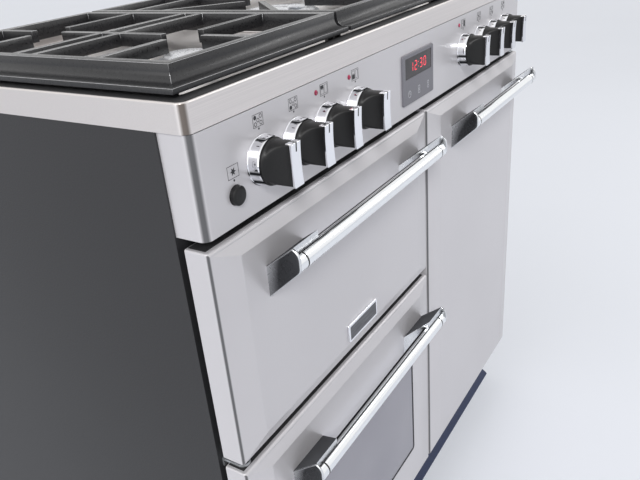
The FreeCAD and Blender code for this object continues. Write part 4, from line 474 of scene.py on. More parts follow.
def arm_steel(surface, shades):
    """Cast and polished handle arm, with painted dark reflections on its flat ends and its upper side."""
    surface.start(shades.arm, metallic=0.95)
    parts = surface.normal_parts()
    # Painted reflection: the flat ends darker, and the faces that look up and back dark and matt
    end_reflection = surface.spread(surface.maths("ABSOLUTE", parts["X"]), 0.975, 0.995)
    body = surface.blend(end_reflection, shades.arm, shades.arm_end_reflection)
    top_reflection = surface.larger(surface.spread(parts["Y"], 0.1, 0.4), surface.spread(parts["Z"], 0.55, 0.75))
    surface.painted_reflection(top_reflection, body, shades.arm_top_reflection)
    surface.gloss(surface.noise(260.0), 0.24, 0.36)


def chrome(surface, shades):
    """Mirror-bright plating."""
    surface.start(shades.chrome, metallic=1.0)
    surface.gloss(surface.noise(400.0), 0.04, 0.09)


def bezel_chrome(surface, shades):
    """Chrome ring with painted dark reflections of its surroundings, save on its front rim."""
    surface.start(shades.chrome, metallic=1.0)
    parts = surface.normal_parts()
    # Painted reflection: dark bands set by which way the ring's surface looks
    reflection_streaks = surface.larger(surface.band(parts["Z"], -0.3, -0.12), surface.band(parts["Z"], -0.72, -0.5))
    reflection_streaks = surface.larger(reflection_streaks, surface.band(parts["Z"], 0.9, 0.96))
    rim = surface.spread(parts["Y"], -0.75, -0.55, 1.0, 0.0)
    surface.painted_reflection(surface.maths("SUBTRACT", reflection_streaks, rim), shades.chrome, shades.painted_reflection)
    surface.gloss(surface.noise(400.0), 0.05, 0.1)


def charcoal_paint(surface, shades):
    """Fine-textured dark coating."""
    surface.start(shades.charcoal)
    surface.set("Specular IOR Level", 0.35)
    surface.tint(surface.noise(2.0), tuple(part * 0.8 for part in shades.charcoal))
    grit = surface.noise(700.0)
    surface.gloss(grit, 0.42, 0.58)
    surface.relief(grit, distance=0.00006, strength=0.5)


def galvanised(surface, shades):
    """Zinc-coated sheet with its crystal pattern."""
    surface.start(tone(166, 169, 172), metallic=0.8)
    crystal = surface.node("ShaderNodeSeparateColor", {"Color": surface.cells(0.007)["Color"]})
    surface.tint(crystal["Red"], tone(180, 183, 186), 0.0, 1.0)
    surface.gloss(crystal["Green"], 0.36, 0.46, 0.0, 1.0)


def black_enamel(surface, shades):
    """Glassy black enamel with pale specks and a faint orange-peel."""
    surface.start(shades.enamel, roughness=0.16)
    surface.tint(surface.cells(0.0028)["Distance"], tone(120, 124, 130), 0.09, 0.05)
    surface.relief(surface.noise(160.0), distance=0.00006, strength=0.4)


def cast_iron(surface, shades):
    """Cast iron under satin enamel: pitted, with a soft shine."""
    surface.start(shades.iron)
    surface.set("Coat Weight", 0.12)
    surface.set("Coat Roughness", 0.22)
    grain = surface.noise(420.0, detail=3.0)
    surface.tint(grain, tone(34, 34, 36), 0.35, 0.65)
    surface.gloss(grain, 0.24, 0.42)
    surface.relief(grain, distance=0.00012, strength=0.5)


def iron_edge_highlight(surface, shades):
    """Upper edges of the cast iron, with a painted highlight."""
    surface.start(shades.iron_edge_highlight, roughness=0.28, metallic=0.5)
    grain = surface.spread(surface.noise(420.0, detail=3.0), 0.3, 0.7)
    # Painted highlight: the rounded edges turn bright, and the faces that look up stay iron
    highlight = surface.blend(grain, shades.iron_edge_highlight, tone(190, 190, 193))
    upward = surface.spread(surface.normal_parts()["Z"], 0.0, 0.35)
    surface.link(surface.blend(upward, shades.iron, highlight), "Base Color")


def burner_alloy(surface, shades):
    """Pale cast alloy."""
    surface.start(shades.alloy, roughness=0.32, metallic=0.9)
    grain = surface.noise(300.0, detail=3.0)
    surface.tint(grain, tone(190, 192, 196))
    surface.relief(grain, distance=0.00005, strength=0.4)


def cap_enamel(surface, shades):
    """Pale satin cap with a fine grain."""
    surface.start(shades.cap, metallic=0.4)
    grain = surface.noise(240.0)
    surface.tint(grain, tone(206, 207, 211))
    surface.gloss(grain, 0.24, 0.36)


def ceramic(surface, shades):
    """Off-white body of the spark electrodes."""
    surface.start(tone(234, 231, 222), roughness=0.35)
    surface.tint(surface.noise(500.0), tone(220, 216, 205), 0.4, 0.6)


def brass(surface, shades):
    """Turned brass with duller patches."""
    surface.start(tone(190, 156, 90), roughness=0.32, metallic=0.95)
    surface.tint(surface.noise(90.0), tone(158, 124, 66))


def black_plastic(surface, shades):
    """Satin moulded plastic with a fine grain."""
    surface.start(shades.plastic)
    surface.set("Specular IOR Level", 0.3)
    grain = surface.noise(1100.0)
    surface.tint(grain, tone(25, 25, 26), 0.35, 0.65)
    surface.gloss(grain, 0.36, 0.5)
    surface.relief(grain, distance=0.00003, strength=0.4)


def grey_plastic(surface, shades):
    """Moulded frame of the clock."""
    surface.start(shades.clock_frame, roughness=0.38)
    grain = surface.noise(900.0)
    surface.tint(grain, tone(106, 105, 112), 0.35, 0.65)
    surface.relief(grain, distance=0.00003, strength=0.3)


def display_glass(surface, shades):
    """Dark glass with a faint haze."""
    surface.start(shades.display, roughness=0.12)
    surface.tint(surface.noise(60.0), tone(48, 40, 42), 0.4, 0.6)


def neon_lens(surface, shades):
    """Tinted lens, ribbed inside."""
    surface.start(shades.neon, roughness=0.14)
    surface.tint(surface.noise((900.0, 200.0, 200.0)), tone(120, 20, 52), 0.35, 0.65)


def window_glass(surface, shades):
    """Coated glass: mostly a soft grey mirror, a little see-through."""
    surface.start(shades.window, roughness=0.06)
    surface.set("Transmission Weight", 0.25)
    surface.tint(surface.noise(4.0), tone(146, 145, 156), 0.35, 0.65)


def seal_rubber(surface, shades):
    """Dull black rubber."""
    surface.start(tone(24, 24, 26), roughness=0.65)
    surface.tint(surface.noise(500.0), tone(36, 36, 38), 0.4, 0.6)


def painted_floor_shadow(surface, shades):
    """Dull dark blue: a painted shadow on the floor under the doors."""
    surface.start(shades.floor_shadow, roughness=0.55)
    surface.tint(surface.noise(300.0), tone(30, 42, 74), 0.35, 0.65)


def bare_wire(surface, shades):
    """Drawn wire of the oven shelves."""
    surface.start(tone(206, 208, 211), metallic=1.0)
    surface.gloss(surface.noise(300.0), 0.16, 0.3)


def panel_ink(surface, shades):
    """Near-black print."""
    surface.start(shades.ink, roughness=0.55)
    surface.tint(surface.noise(800.0), tone(38, 38, 42), 0.4, 0.6)


def plate_field(surface, shades):
    """Dull dark field of the bare plate."""
    surface.start(tone(84, 85, 89), roughness=0.35, metallic=0.8)
    surface.tint(surface.noise((40.0, 900.0, 900.0)), tone(110, 111, 115), 0.35, 0.65)


def touch_ink(surface, shades):
    """Pale print on the clock frame."""
    surface.start(tone(180, 181, 186))
    surface.tint(surface.noise(800.0), tone(168, 169, 174), 0.4, 0.6)


def lit_digit(surface, shades):
    """Glowing bars of the clock."""
    surface.start(shades.digit)
    surface.set("Emission Color", (*shades.digit, 1.0))
    surface.set("Emission Strength", 0.9)
    surface.tint(surface.noise(700.0), tone(226, 40, 60), 0.4, 0.6)


FINISH_MAKERS = {maker.__name__: maker for maker in (
    silver_paint, stainless, polished_steel, polished_edge, arm_steel, chrome, bezel_chrome, charcoal_paint,
    galvanised, black_enamel, cast_iron, iron_edge_highlight, burner_alloy, cap_enamel, ceramic, brass, black_plastic,
    grey_plastic, display_glass, neon_lens, window_glass, seal_rubber, painted_floor_shadow, bare_wire, panel_ink,
    plate_field, touch_ink, lit_digit)}


def finish(name):
    """The scene's own material for a slot, made when it is first asked for."""
    title = f"{name}_finish"
    if title not in bpy.data.materials:
        FINISH_MAKERS[name](Surface(title), bpy.context.scene.cooker.colours)
    return bpy.data.materials[title]


# ---------------------------------------------------------------- pieces

def middle_of(node):
    """Middle of a node's box as (across, up)."""
    low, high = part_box(node)
    return (low.x + high.x) / 2, (low.z + high.z) / 2


def place_piece(piece, body, slot, *stands_for):
    """Lets a piece ride on a body, and stand for the named nodes of the solids, if any; the slot is not used.
    """
    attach(piece, body)
    if stands_for:
        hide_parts(*stands_for)
    return piece


def linked_piece(mesh, name, material):
    """An object in the scene for a mesh that has no material yet."""
    mesh.materials.append(material)
    piece = bpy.data.objects.new(name, mesh)
    bpy.context.scene.collection.objects.link(piece)
    return piece


def piece_from(bm, name, finish_name, smooth=None):
    """A piece from a bmesh, faces outwards, smooth below the given angle."""
    bmesh.ops.recalc_face_normals(bm, faces=bm.faces)
    mesh = bpy.data.meshes.new(name)
    bm.to_mesh(mesh)
    bm.free()
    if smooth is not None:
        mesh.shade_smooth()
        mesh.set_sharp_from_angle(angle=math.radians(smooth))
    return linked_piece(mesh, name, finish(finish_name))


def add_piece(bm, name, finish_name, body, slot, *stands_for, smooth=None):
    """A piece from a bmesh, placed at once."""
    return place_piece(piece_from(bm, name, finish_name, smooth), body, slot, *stands_for)


def skin_rings(bm, rings, closed=False):
    """Quads between neighbouring rings of points; the row is closed on itself or capped at both ends."""
    loops = [[bm.verts.new(point) for point in ring] for ring in rings]
    pairs = list(zip(loops, loops[1:] + loops[:1] if closed else loops[1:]))
    for near_loop, far_loop in pairs:
        for index, spot in enumerate(near_loop):
            after = (index + 1) % len(near_loop)
            bm.faces.new((spot, near_loop[after], far_loop[after], far_loop[index]))
    if not closed:
        bm.faces.new(loops[0][::-1])
        bm.faces.new(loops[-1])


def skinned(rings, closed=False):
    """A bmesh with one skin over rings of points."""
    bm = bmesh.new()
    skin_rings(bm, rings, closed)
    return bm


def extruded(side, left, right):
    """A bmesh of a side view of (deep, up) points, drawn from left to right."""
    return skinned([[(across, deep, up) for deep, up in side] for across in (left, right)])


def round_ring(count, radius):
    """Points of a circle as (across, up) pairs."""
    turns = [2 * math.pi * step / count for step in range(count)]
    return [(radius * math.cos(turn), radius * math.sin(turn)) for turn in turns]


def box_corners(across, up, width, height):
    """Corners of an upright rectangle as (across, up) pairs."""
    left, right = across - width / 2, across + width / 2
    low, high = up - height / 2, up + height / 2
    return [(left, low), (right, low), (right, high), (left, high)]


def rounded_loop(left, right, front, rear, radius, up):
    """Points of a level rectangle with rounded corners."""
    corners = ((right - radius, rear - radius, 0), (left + radius, rear - radius, 90),
               (left + radius, front + radius, 180), (right - radius, front + radius, 270))
    points = []
    for x, y, start in corners:
        for step in range(CORNER_STEPS + 1):
            turn = math.radians(start + 90 * step / CORNER_STEPS)
            points.append((x + radius * math.cos(turn), y + radius * math.sin(turn), up))
    return points


def rounded_copy(source, name, finish_name, width, edge_finish=None):
    """A node's solid with its sharp edges rounded, and with a finish of their own if one is named."""
    weld, flat, sharp = 0.00002, math.radians(1), math.radians(28)
    bm = bmesh.new()
    bm.from_mesh(frame["nodes"][source].data)
    bmesh.ops.remove_doubles(bm, verts=bm.verts, dist=weld)
    bmesh.ops.dissolve_limit(bm, angle_limit=flat, verts=bm.verts, edges=bm.edges)
    edges = [edge for edge in bm.edges if len(edge.link_faces) == 2 and edge.calc_face_angle() > sharp]
    bmesh.ops.bevel(bm, geom=edges, offset=width, offset_type="OFFSET", segments=2, profile=0.5,
                    affect="EDGES", clamp_overlap=True, loop_slide=True, material=1 if edge_finish else -1)
    piece = piece_from(bm, name, finish_name, smooth=40)
    if edge_finish:
        piece.data.materials.append(finish(edge_finish))
    return piece


class InkSheet:
    """Thin printed shapes on an upright face that looks forwards."""

    def __init__(self, face, thickness):
        self.bm = bmesh.new()
        self.front, self.rear = face - thickness, face

    def plate(self, corners):
        """A filled outline."""
        sides = (self.front, self.rear)
        skin_rings(self.bm, [[(across, deep, up) for across, up in corners] for deep in sides])

    def band(self, outer, inner):
        """The area between two outlines of equal count."""
        sides = ((outer, self.front), (inner, self.front), (inner, self.rear), (outer, self.rear))
        rings = [[(across, deep, up) for across, up in loop] for loop, deep in sides]
        skin_rings(self.bm, rings, closed=True)

    def bar(self, across, up, width, height):
        self.plate(box_corners(across, up, width, height))

    def border(self, across, up, width, height, line):
        self.band(box_corners(across, up, width, height),
                  box_corners(across, up, width - 2 * line, height - 2 * line))

    def circle(self, across, up, radius):
        return [(across + x, up + z) for x, z in round_ring(SIGN_STEPS, radius)]

    def disc(self, across, up, radius):
        self.plate(self.circle(across, up, radius))

    def ring(self, across, up, radius, line):
        self.band(self.circle(across, up, radius), self.circle(across, up, radius - line))


class PointTree:
    """Geometry nodes that put a copy of one small form on each point they are given."""

    SOCKETS = {int: "NodeSocketInt", float: "NodeSocketFloat", tuple: "NodeSocketVector"}

    def __init__(self, name, values):
        self.tree = bpy.data.node_groups.new(name, "GeometryNodeTree")
        sockets = self.tree.interface
        for direction in ("INPUT", "OUTPUT"):
            sockets.new_socket(name="Geometry", in_out=direction, socket_type="NodeSocketGeometry")
        self.values = {}
        for title, value in values.items():
            socket = sockets.new_socket(name=title, in_out="INPUT", socket_type=self.SOCKETS[type(value)])
            self.values[socket.identifier] = value
        self.given = self.node("NodeGroupInput", {})

    def node(self, kind, inputs, **settings):
        return add_node(self.tree, kind, inputs, **settings)

    def turned(self, form, turn, shift=(0.0, 0.0, 0.0)):
        """The form turned by three angles in degrees, then shifted."""
        rotation = tuple(math.radians(part) for part in turn)
        inputs = {"Geometry": form, "Rotation": rotation, "Translation": shift}
        return self.node("GeometryNodeTransform", inputs)["Geometry"]

    def joined(self, forms):
        join = self.tree.nodes.new("GeometryNodeJoinGeometry")
        for form in forms:
            self.tree.links.new(form, join.inputs["Geometry"])
        return join.outputs["Geometry"]

    def copy(self, form, finish_name):
        """Puts the form on each point, makes the copies plain geometry and gives them a finish."""
        inputs = {"Points": self.given["Geometry"], "Instance": form}
        copies = self.node("GeometryNodeInstanceOnPoints", inputs)
        plain = self.node("GeometryNodeRealizeInstances", {"Geometry": copies["Instances"]})
        inputs = {"Geometry": plain["Geometry"], "Material": finish(finish_name)}
        painted = self.node("GeometryNodeSetMaterial", inputs)
        self.node("NodeGroupOutput", {"Geometry": painted["Geometry"]})

    def piece(self, points, name, finish_name):
        """The copies on the points as one plain mesh."""
        cloud = bpy.data.meshes.new(f"{name}_points")
        cloud.from_pydata(points, [], [])
        holder = bpy.data.objects.new(f"{name}_holder", cloud)
        bpy.context.scene.collection.objects.link(holder)
        modifier = holder.modifiers.new("Repeat", "NODES")
        modifier.node_group = self.tree
        for identifier, value in self.values.items():
            modifier[identifier] = value
        bpy.context.view_layer.update()
        graph = bpy.context.evaluated_depsgraph_get()
        mesh = bpy.data.meshes.new_from_object(holder.evaluated_get(graph))
        holder.modifiers.remove(modifier)
        bpy.data.objects.remove(holder)
        mesh.name = name
        mesh.materials.clear()
        return linked_piece(mesh, name, finish(finish_name))


# ---------------------------------------------------------------- operators

class CookerFinishes(bpy.types.Operator):
    """Gives each solid of the cooker its finish"""
    bl_idname = "cooker.finishes"
    bl_label = "Finishes"

    def execute(self, context):
        for row in frame["record"]["subparts"]:
            mesh = frame["nodes"][row["node"]].data
            mesh.materials.clear()
            mesh.materials.append(finish(row["material_slot"]))
        return {"FINISHED"}


def knob_radius(sizes, depth):
    """Radius of a knob's turned form at a depth in front of the panel."""
    if depth <= sizes.shoulder:
        return sizes.radius
    sloping = sizes.radius - (depth - sizes.shoulder) * sizes.shoulder_slope
    return max(sloping, sizes.radius * sizes.face_share)


def knob_half_width(sizes, depth):
    """Half the width that the scoops leave at a depth, endless behind them."""
    if depth <= sizes.scoop_start:
        return math.inf
    if depth >= sizes.scoop_end:
        return sizes.grip_half
    wide, narrow = knob_radius(sizes, sizes.scoop_start), sizes.grip_half
    rise = sizes.scoop_end - sizes.scoop_start
    chord = math.hypot(wide - narrow, rise)
    reach = math.sqrt(sizes.scoop_radius ** 2 - (chord / 2) ** 2)
    centre_across = (wide + narrow) / 2 + rise / chord * reach
    centre_deep = (sizes.scoop_start + sizes.scoop_end) / 2 + (wide - narrow) / chord * reach
    return centre_across - math.sqrt(sizes.scoop_radius ** 2 - (centre_deep - depth) ** 2)


def knob_ring(sizes, depth, across, up):
    """Outline of a knob at a depth: a circle that the scoops narrow with a soft corner."""
    limit = knob_half_width(sizes, depth)
    ring = []
    for x, z in round_ring(KNOB_STEPS, knob_radius(sizes, depth)):
        narrowed = x / (1 + abs(x / limit) ** GRIP_SQUARENESS) ** (1 / GRIP_SQUARENESS)
        ring.append((across + narrowed, PANEL_FACE - depth, up + z))
    return ring


def knob_shell(sizes, across, up):
    """Turned back that two scoops narrow to an upright grip, with rings close to its crisp shoulder."""
    before, after = 0.001, 0.0004
    scoop = sizes.scoop_end - sizes.scoop_start
    depths = [sizes.back, sizes.shoulder - before, sizes.shoulder, sizes.shoulder + after, sizes.scoop_start]
    depths += [sizes.scoop_start + scoop * step / SCOOP_STEPS for step in range(1, SCOOP_STEPS + 1)]
    depths.append(sizes.nose - sizes.strip_depth)
    return skinned([knob_ring(sizes, depth, across, up) for depth in depths])


def knob_slice(side, half, across, up):
    """Side view of (depth, height) points about a knob's axis, drawn to half a width on both sides."""
    points = [(PANEL_FACE - depth, up + height) for depth, height in side]
    return extruded(points, across - half, across + half)


def knob_strip(sizes, across, up):
    """Bright strip over the hollow nose of the grip, folded back along its top."""
    top, step = sizes.strip_half_height, sizes.strip_half_height - sizes.strip_thickness
    seat, fold = sizes.nose - sizes.strip_depth, sizes.nose - sizes.strip_fold
    side = [(seat, -top), (seat, step), (fold, step), (fold, top)]
    for index in range(NOSE_STEPS + 1):
        height = top * (1 - 2 * index / NOSE_STEPS)
        side.append((sizes.nose - sizes.nose_dip * (1 - (height / top) ** 2), height))
    return knob_slice(side, sizes.grip_half + sizes.strip_overhang, across, up)


def knob_pointer(sizes, across, up):
    """Dark line let into the top of the strip."""
    nose_sink, top_sink = 0.0003, 0.0004
    nose, rise = sizes.nose, sizes.pointer_rise
    back, top = nose - sizes.pointer_fold, sizes.strip_half_height + rise
    low = top - sizes.pointer_length
    hollow = nose - sizes.nose_dip * (1 - (low / top) ** 2)
    side = [(back, top), (nose + rise, top), (hollow + rise, low), (hollow - nose_sink, low),
            (nose - nose_sink, top - top_sink), (back, top - top_sink)]
    return knob_slice(side, sizes.pointer_width / 2, across, up)


class CookerKnobs(bpy.types.Operator):
    """Makes the eight control knobs with their bright strips and dark pointers"""
    bl_idname = "cooker.knobs"
    bl_label = "Knobs"

    def execute(self, context):
        sizes = context.scene.cooker.knobs
        for number in KNOBS:
            node, body = f"knob_{number}", f"knob_{number}_body"
            spot = middle_of(node)
            shell = knob_shell(sizes, *spot)
            add_piece(shell, f"knob_shell_{number}", "black_plastic", body, "black_plastic", node, smooth=35)
            strip = piece_from(knob_strip(sizes, *spot), f"knob_strip_{number}", "chrome", smooth=20)
            edge = strip.modifiers.new("Edges", "BEVEL")
            edge.width = context.scene.cooker.edges.strip
            edge.segments = 2
            edge.limit_method = "ANGLE"
            edge.angle_limit = math.radians(50)
            place_piece(strip, body, "chrome")
            pointer = knob_pointer(sizes, *spot)
            add_piece(pointer, f"knob_pointer_{number}", "panel_ink", body, "black_plastic")
        return {"FINISHED"}


def sign_frame(sheet, sizes, across, up):
    sheet.border(across, up, sizes.width, sizes.height, sizes.frame_line)


def burner_sign(sheet, sizes, across, up, chosen):
    """Plan of the hob in a frame, with one burner filled."""
    sign_frame(sheet, sizes, across, up)
    for name, (side, rise) in BURNER_SPOTS.items():
        spot = across + side * sizes.width, up + rise * sizes.height
        if name == chosen:
            sheet.disc(*spot, sizes.burner)
        else:
            sheet.ring(*spot, sizes.burner, sizes.ring_line)


def oven_sign(sheet, sizes, across, up, chosen):
    """Front of the cooker in a frame, with one oven filled."""
    sign_frame(sheet, sizes, across, up)
    for name, (side, rise, wide, tall) in OVEN_CELLS.items():
        cell = across + side * sizes.width, up + rise * sizes.height, wide * sizes.width, tall * sizes.height
        if name == chosen:
            sheet.bar(*cell)
        else:
            sheet.border(*cell, sizes.cell_line)


def spark_sign(sheet, sizes, across, up):
    """Spark in a frame."""
    sign_frame(sheet, sizes, across, up)
    star = []
    for step in range(2 * SPARK_TIPS):
        radius = sizes.spark_outer if step % 2 == 0 else sizes.spark_inner
        turn = math.pi * step / SPARK_TIPS
        star.append((across + radius * math.cos(turn), up + radius * math.sin(turn)))
    sheet.plate(star)


class CookerMarks(bpy.types.Operator):
    """Prints the signs and dots above the knobs and the ignition button"""
    bl_idname = "cooker.marks"
    bl_label = "Panel marks"

    def execute(self, context):
        sizes = context.scene.cooker.signs
        sheet = InkSheet(PANEL_FACE, sizes.ink)
        for number in KNOBS:
            across, axis = middle_of(f"knob_{number}")
            if number in BURNER_OF_KNOB:
                burner_sign(sheet, sizes, across, axis + sizes.rise, BURNER_OF_KNOB[number])
            else:
                oven_sign(sheet, sizes, across, axis + sizes.rise, OVEN_OF_KNOB[number])
            sheet.disc(across, axis + sizes.dot_rise, sizes.dot)
        across, top = middle_of("ignition_button")[0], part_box("ignition_button")[1].z
        spark_sign(sheet, sizes, across, top + sizes.spark_rise)
        sheet.disc(across, top + sizes.spark_dot_rise, sizes.dot)
        add_piece(sheet.bm, "panel_marks", "panel_ink", "cabinet", "black_plastic")
        return {"FINISHED"}


def bezel_size():
    """Radius and depth of a bezel."""
    low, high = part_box("knob_bezels")
    return (high.z - low.z) / 2, high.y - low.y


def bezel_profile(sizes):
    """(radius, depth) steps of a tapered ring with a swelling foot and a soft rim."""
    tenth = 0.0001
    foot, depth = bezel_size()
    rim, bore = foot - sizes.taper, sizes.bore
    return [(bore, 0.0), (foot, 0.0), (foot + 3 * tenth, 6 * tenth), (foot + tenth, 13 * tenth),
            (foot - 3 * tenth, 17 * tenth), (rim + 3 * tenth, depth - 22 * tenth), (rim, depth - 8 * tenth),
            (rim - 3 * tenth, depth - tenth), (bore + tenth, depth), (bore, depth - 3 * tenth)]


class CookerBezels(bpy.types.Operator):
    """Turns the tapered chrome ring round each knob"""
    bl_idname = "cooker.bezels"
    bl_label = "Bezels"

    def execute(self, context):
        profile = bezel_profile(context.scene.cooker.bezels)
        bm = bmesh.new()
        for number in KNOBS:
            across, up = middle_of(f"knob_{number}")
            rings = [[(across + x, PANEL_FACE - depth, up + z) for x, z in round_ring(KNOB_STEPS, radius)]
                     for radius, depth in profile]
            skin_rings(bm, rings, closed=True)
        add_piece(bm, "bezel_rings", "bezel_chrome", "cabinet", "chrome", "knob_bezels", smooth=30)
        return {"FINISHED"}


def tick_arc(tree):
    """Ticks along the upper part of a ring that looks forwards."""
    half = tree.given["Half Arc"]
    start = tree.node("ShaderNodeMath", {0: math.pi / 2, 1: half}, operation="SUBTRACT")["Value"]
    sweep = tree.node("ShaderNodeMath", {0: half, 1: 2.0}, operation="MULTIPLY")["Value"]
    arc = tree.node("GeometryNodeCurveArc", {
        "Radius": tree.given["Radius"], "Start Angle": start, "Sweep Angle": sweep})
    spots = tree.node("GeometryNodeCurveToPoints", {"Curve": arc["Curve"], "Count": tree.given["Count"]})
    tick = tree.node("GeometryNodeMeshCube", {"Size": tree.given["Tick Size"]})
    ring = tree.node("GeometryNodeInstanceOnPoints", {
        "Points": spots["Points"], "Instance": tick["Mesh"], "Rotation": spots["Rotation"]})
    return tree.turned(ring["Instances"], (90, 0, 0))


class CookerTicks(bpy.types.Operator):
    """Puts the small ticks on the upper side of each bezel"""
    bl_idname = "cooker.ticks"
    bl_label = "Bezel ticks"

    def execute(self, context):
        sizes = context.scene.cooker.bezels
        radius, depth = bezel_size()
        tree = PointTree("Bezel Ticks", {
            "Count": sizes.tick_count, "Radius": radius - sizes.tick_sink, "Half Arc": sizes.tick_half_arc,
            "Tick Size": (sizes.tick_height, sizes.tick_length, sizes.tick_width)})
        tree.copy(tick_arc(tree), "panel_ink")
        points = []
        for number in KNOBS:
            across, up = middle_of(f"knob_{number}")
            points.append((across, PANEL_FACE - depth * sizes.tick_place, up))
        place_piece(tree.piece(points, "bezel_ticks", "panel_ink"), "cabinet", "black_plastic")
        return {"FINISHED"}


def lit_bars(sheet, sizes, across, up, digit):
    """Seven-bar digit in the middle of its cell."""
    side, rise = (sizes.digit_width - sizes.stroke) / 2, (sizes.digit_height - sizes.stroke) / 2
    level = (2 * side - sizes.stroke * 0.9, sizes.stroke)
    upright = (sizes.stroke, rise - sizes.stroke * 0.7)
    bars = {"a": (0, rise, *level), "g": (0, 0, *level), "d": (0, -rise, *level),
            "b": (side, rise / 2, *upright), "c": (side, -rise / 2, *upright),
            "f": (-side, rise / 2, *upright), "e": (-side, -rise / 2, *upright)}
    for name in BARS_OF_DIGIT[digit]:
        x, z, width, height = bars[name]
        sheet.bar(across + x, up + z, width, height)


def clock_digits(sizes):
    """Lit digits with a colon between hours and minutes."""
    across, up = middle_of("clock_display")
    sheet = InkSheet(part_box("clock_display")[0].y, sizes.ink)
    for index, digit in enumerate(CLOCK_TIME):
        steps = index - (len(CLOCK_TIME) - 1) / 2
        shift = steps * sizes.digit_pitch + math.copysign(sizes.colon_gap, steps)
        lit_bars(sheet, sizes, across + shift, up, digit)
    for rise in (-0.25, 0.25):
        sheet.disc(across, up + rise * sizes.digit_height, sizes.stroke * 0.55)
    return sheet.bm


def touch_signs(sizes):
    """Dial with two hands, two boxes and two rings in a row under the display."""
    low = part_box("clock_module")[0]
    sheet = InkSheet(low.y, sizes.ink)
    level = low.z + sizes.touch_rise
    radius, line = sizes.touch_radius, sizes.touch_line
    left, centre, right = (middle_of("clock_display")[0] + side * sizes.touch_pitch for side in (-1, 0, 1))
    sheet.ring(left, level, radius, line)
    sheet.bar(left, level + radius * 0.3, line, radius * 0.7)
    sheet.bar(left + radius * 0.25, level, radius * 0.6, line)
    for rise in (-0.6, 0.6):
        sheet.border(centre, level + rise * radius, radius * 1.3, radius, line)
        sheet.ring(right, level + rise * radius, radius * 0.55, line)
    return sheet.bm


class CookerClock(bpy.types.Operator):
    """Lights the digits of the clock and prints its touch signs"""
    bl_idname = "cooker.clock"
    bl_label = "Clock"

    def execute(self, context):
        sizes = context.scene.cooker.clock
        add_piece(clock_digits(sizes), "clock_digits", "lit_digit", "cabinet", "display_glass")
        add_piece(touch_signs(sizes), "clock_touch_signs", "touch_ink", "cabinet", "grey_plastic")
        return {"FINISHED"}


def bar_profile(sizes, starts, left, right, radius):
    """(across, radius) steps of a handle bar with a groove at each start."""
    inner = radius - sizes.groove_depth
    steps = [(left, radius - sizes.chamfer), (left + sizes.chamfer, radius)]
    for start in starts:
        end, flank = start + sizes.groove_width, sizes.groove_flank
        steps += [(start - flank, radius), (start, inner), (end, inner), (end + flank, radius)]
    return steps + [(right - sizes.chamfer, radius), (right, radius - sizes.chamfer)]


def ring_profile(sizes, start, radius):
    """(across, radius) steps of the dark ring in a groove."""
    end, inner = start + sizes.groove_width, radius - sizes.groove_depth
    crest = ((start + end) / 2, radius + sizes.ring_bulge)
    return [(start, inner), (start, radius), crest, (end, radius), (end, inner)]


def handle_forms(sizes, node):
    """Bar of a handle, and the dark rings in its grooves."""
    low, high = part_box(node)
    radius, deep, up = (high.z - low.z) / 2, (low.y + high.y) / 2, (low.z + high.z) / 2
    starts = (low.x + sizes.groove_inset, high.x - sizes.groove_inset - sizes.groove_width)

    def circles(profile, count):
        return [[(across, deep + y, up + z) for y, z in round_ring(count, reach)]
                for across, reach in profile]

    bar = skinned(circles(bar_profile(sizes, starts, low.x, high.x, radius), BAR_STEPS))
    rings = bmesh.new()
    for start in starts:
        skin_rings(rings, circles(ring_profile(sizes, start, radius), RING_STEPS), closed=True)
    return bar, rings


class CookerHandles(bpy.types.Operator):
    """Makes the polished handle bars and their cast arms"""
    bl_idname = "cooker.handles"
    bl_label = "Handles"

    def execute(self, context):
        cooker = context.scene.cooker
        for door in DOORS:
            body, bar_node, arm_node = f"{door}_door", f"{door}_handle_bar", f"{door}_handle_ends"
            bar, rings = handle_forms(cooker.handles, bar_node)
            add_piece(bar, f"{door}_bar", "polished_steel", body, "stainless", bar_node, smooth=25)
            add_piece(rings, f"{door}_bar_rings", "seal_rubber", body, "seal_rubber", smooth=40)
            arms = rounded_copy(arm_node, f"{door}_arms", "arm_steel", cooker.edges.arm, "polished_edge")
            place_piece(arms, body, "stainless", arm_node)
        return {"FINISHED"}


class CookerDoorStrips(bpy.types.Operator):
    """Lays a dark strip along the top of each door: partly the black liner behind the door skin, partly
    painted shade in the gap under the panel.
    """
    bl_idname = "cooker.door_strips"
    bl_label = "Door strips"

    def execute(self, context):
        sizes = context.scene.cooker.trim
        near, far = PANEL_FACE + sizes.strip_start, PANEL_FACE + sizes.strip_end
        for door in DOORS:
            low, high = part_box(f"{door}_door_skin")
            base, top = high.z - sizes.strip_sink, high.z + sizes.strip_height
            side = [(near, base), (near, top), (far, top), (far, base)]
            strip = extruded(side, low.x + sizes.strip_margin, high.x - sizes.strip_margin)
            # Partly painted shade: the strip darkens the gap under the panel
            add_piece(strip, f"{door}_door_strip", "seal_rubber", f"{door}_door", "seal_rubber")
        return {"FINISHED"}


class CookerHob(bpy.types.Operator):
    """Rounds the pan supports and the burner caps"""
    bl_idname = "cooker.hob"
    bl_label = "Hob"

    def execute(self, context):
        edges = context.scene.cooker.edges
        for side in ("left", "centre", "right"):
            source = f"pan_support_{side}"
            # The rounded edges of the supports carry a painted highlight
            support = rounded_copy(source, f"support_{side}", "cast_iron", edges.support, "iron_edge_highlight")
            place_piece(support, "cabinet", "cast_iron", source)
        caps = rounded_copy("burner_caps", "caps", "cap_enamel", edges.cap)
        place_piece(caps, "cabinet", "cap_enamel", "burner_caps")
        return {"FINISHED"}


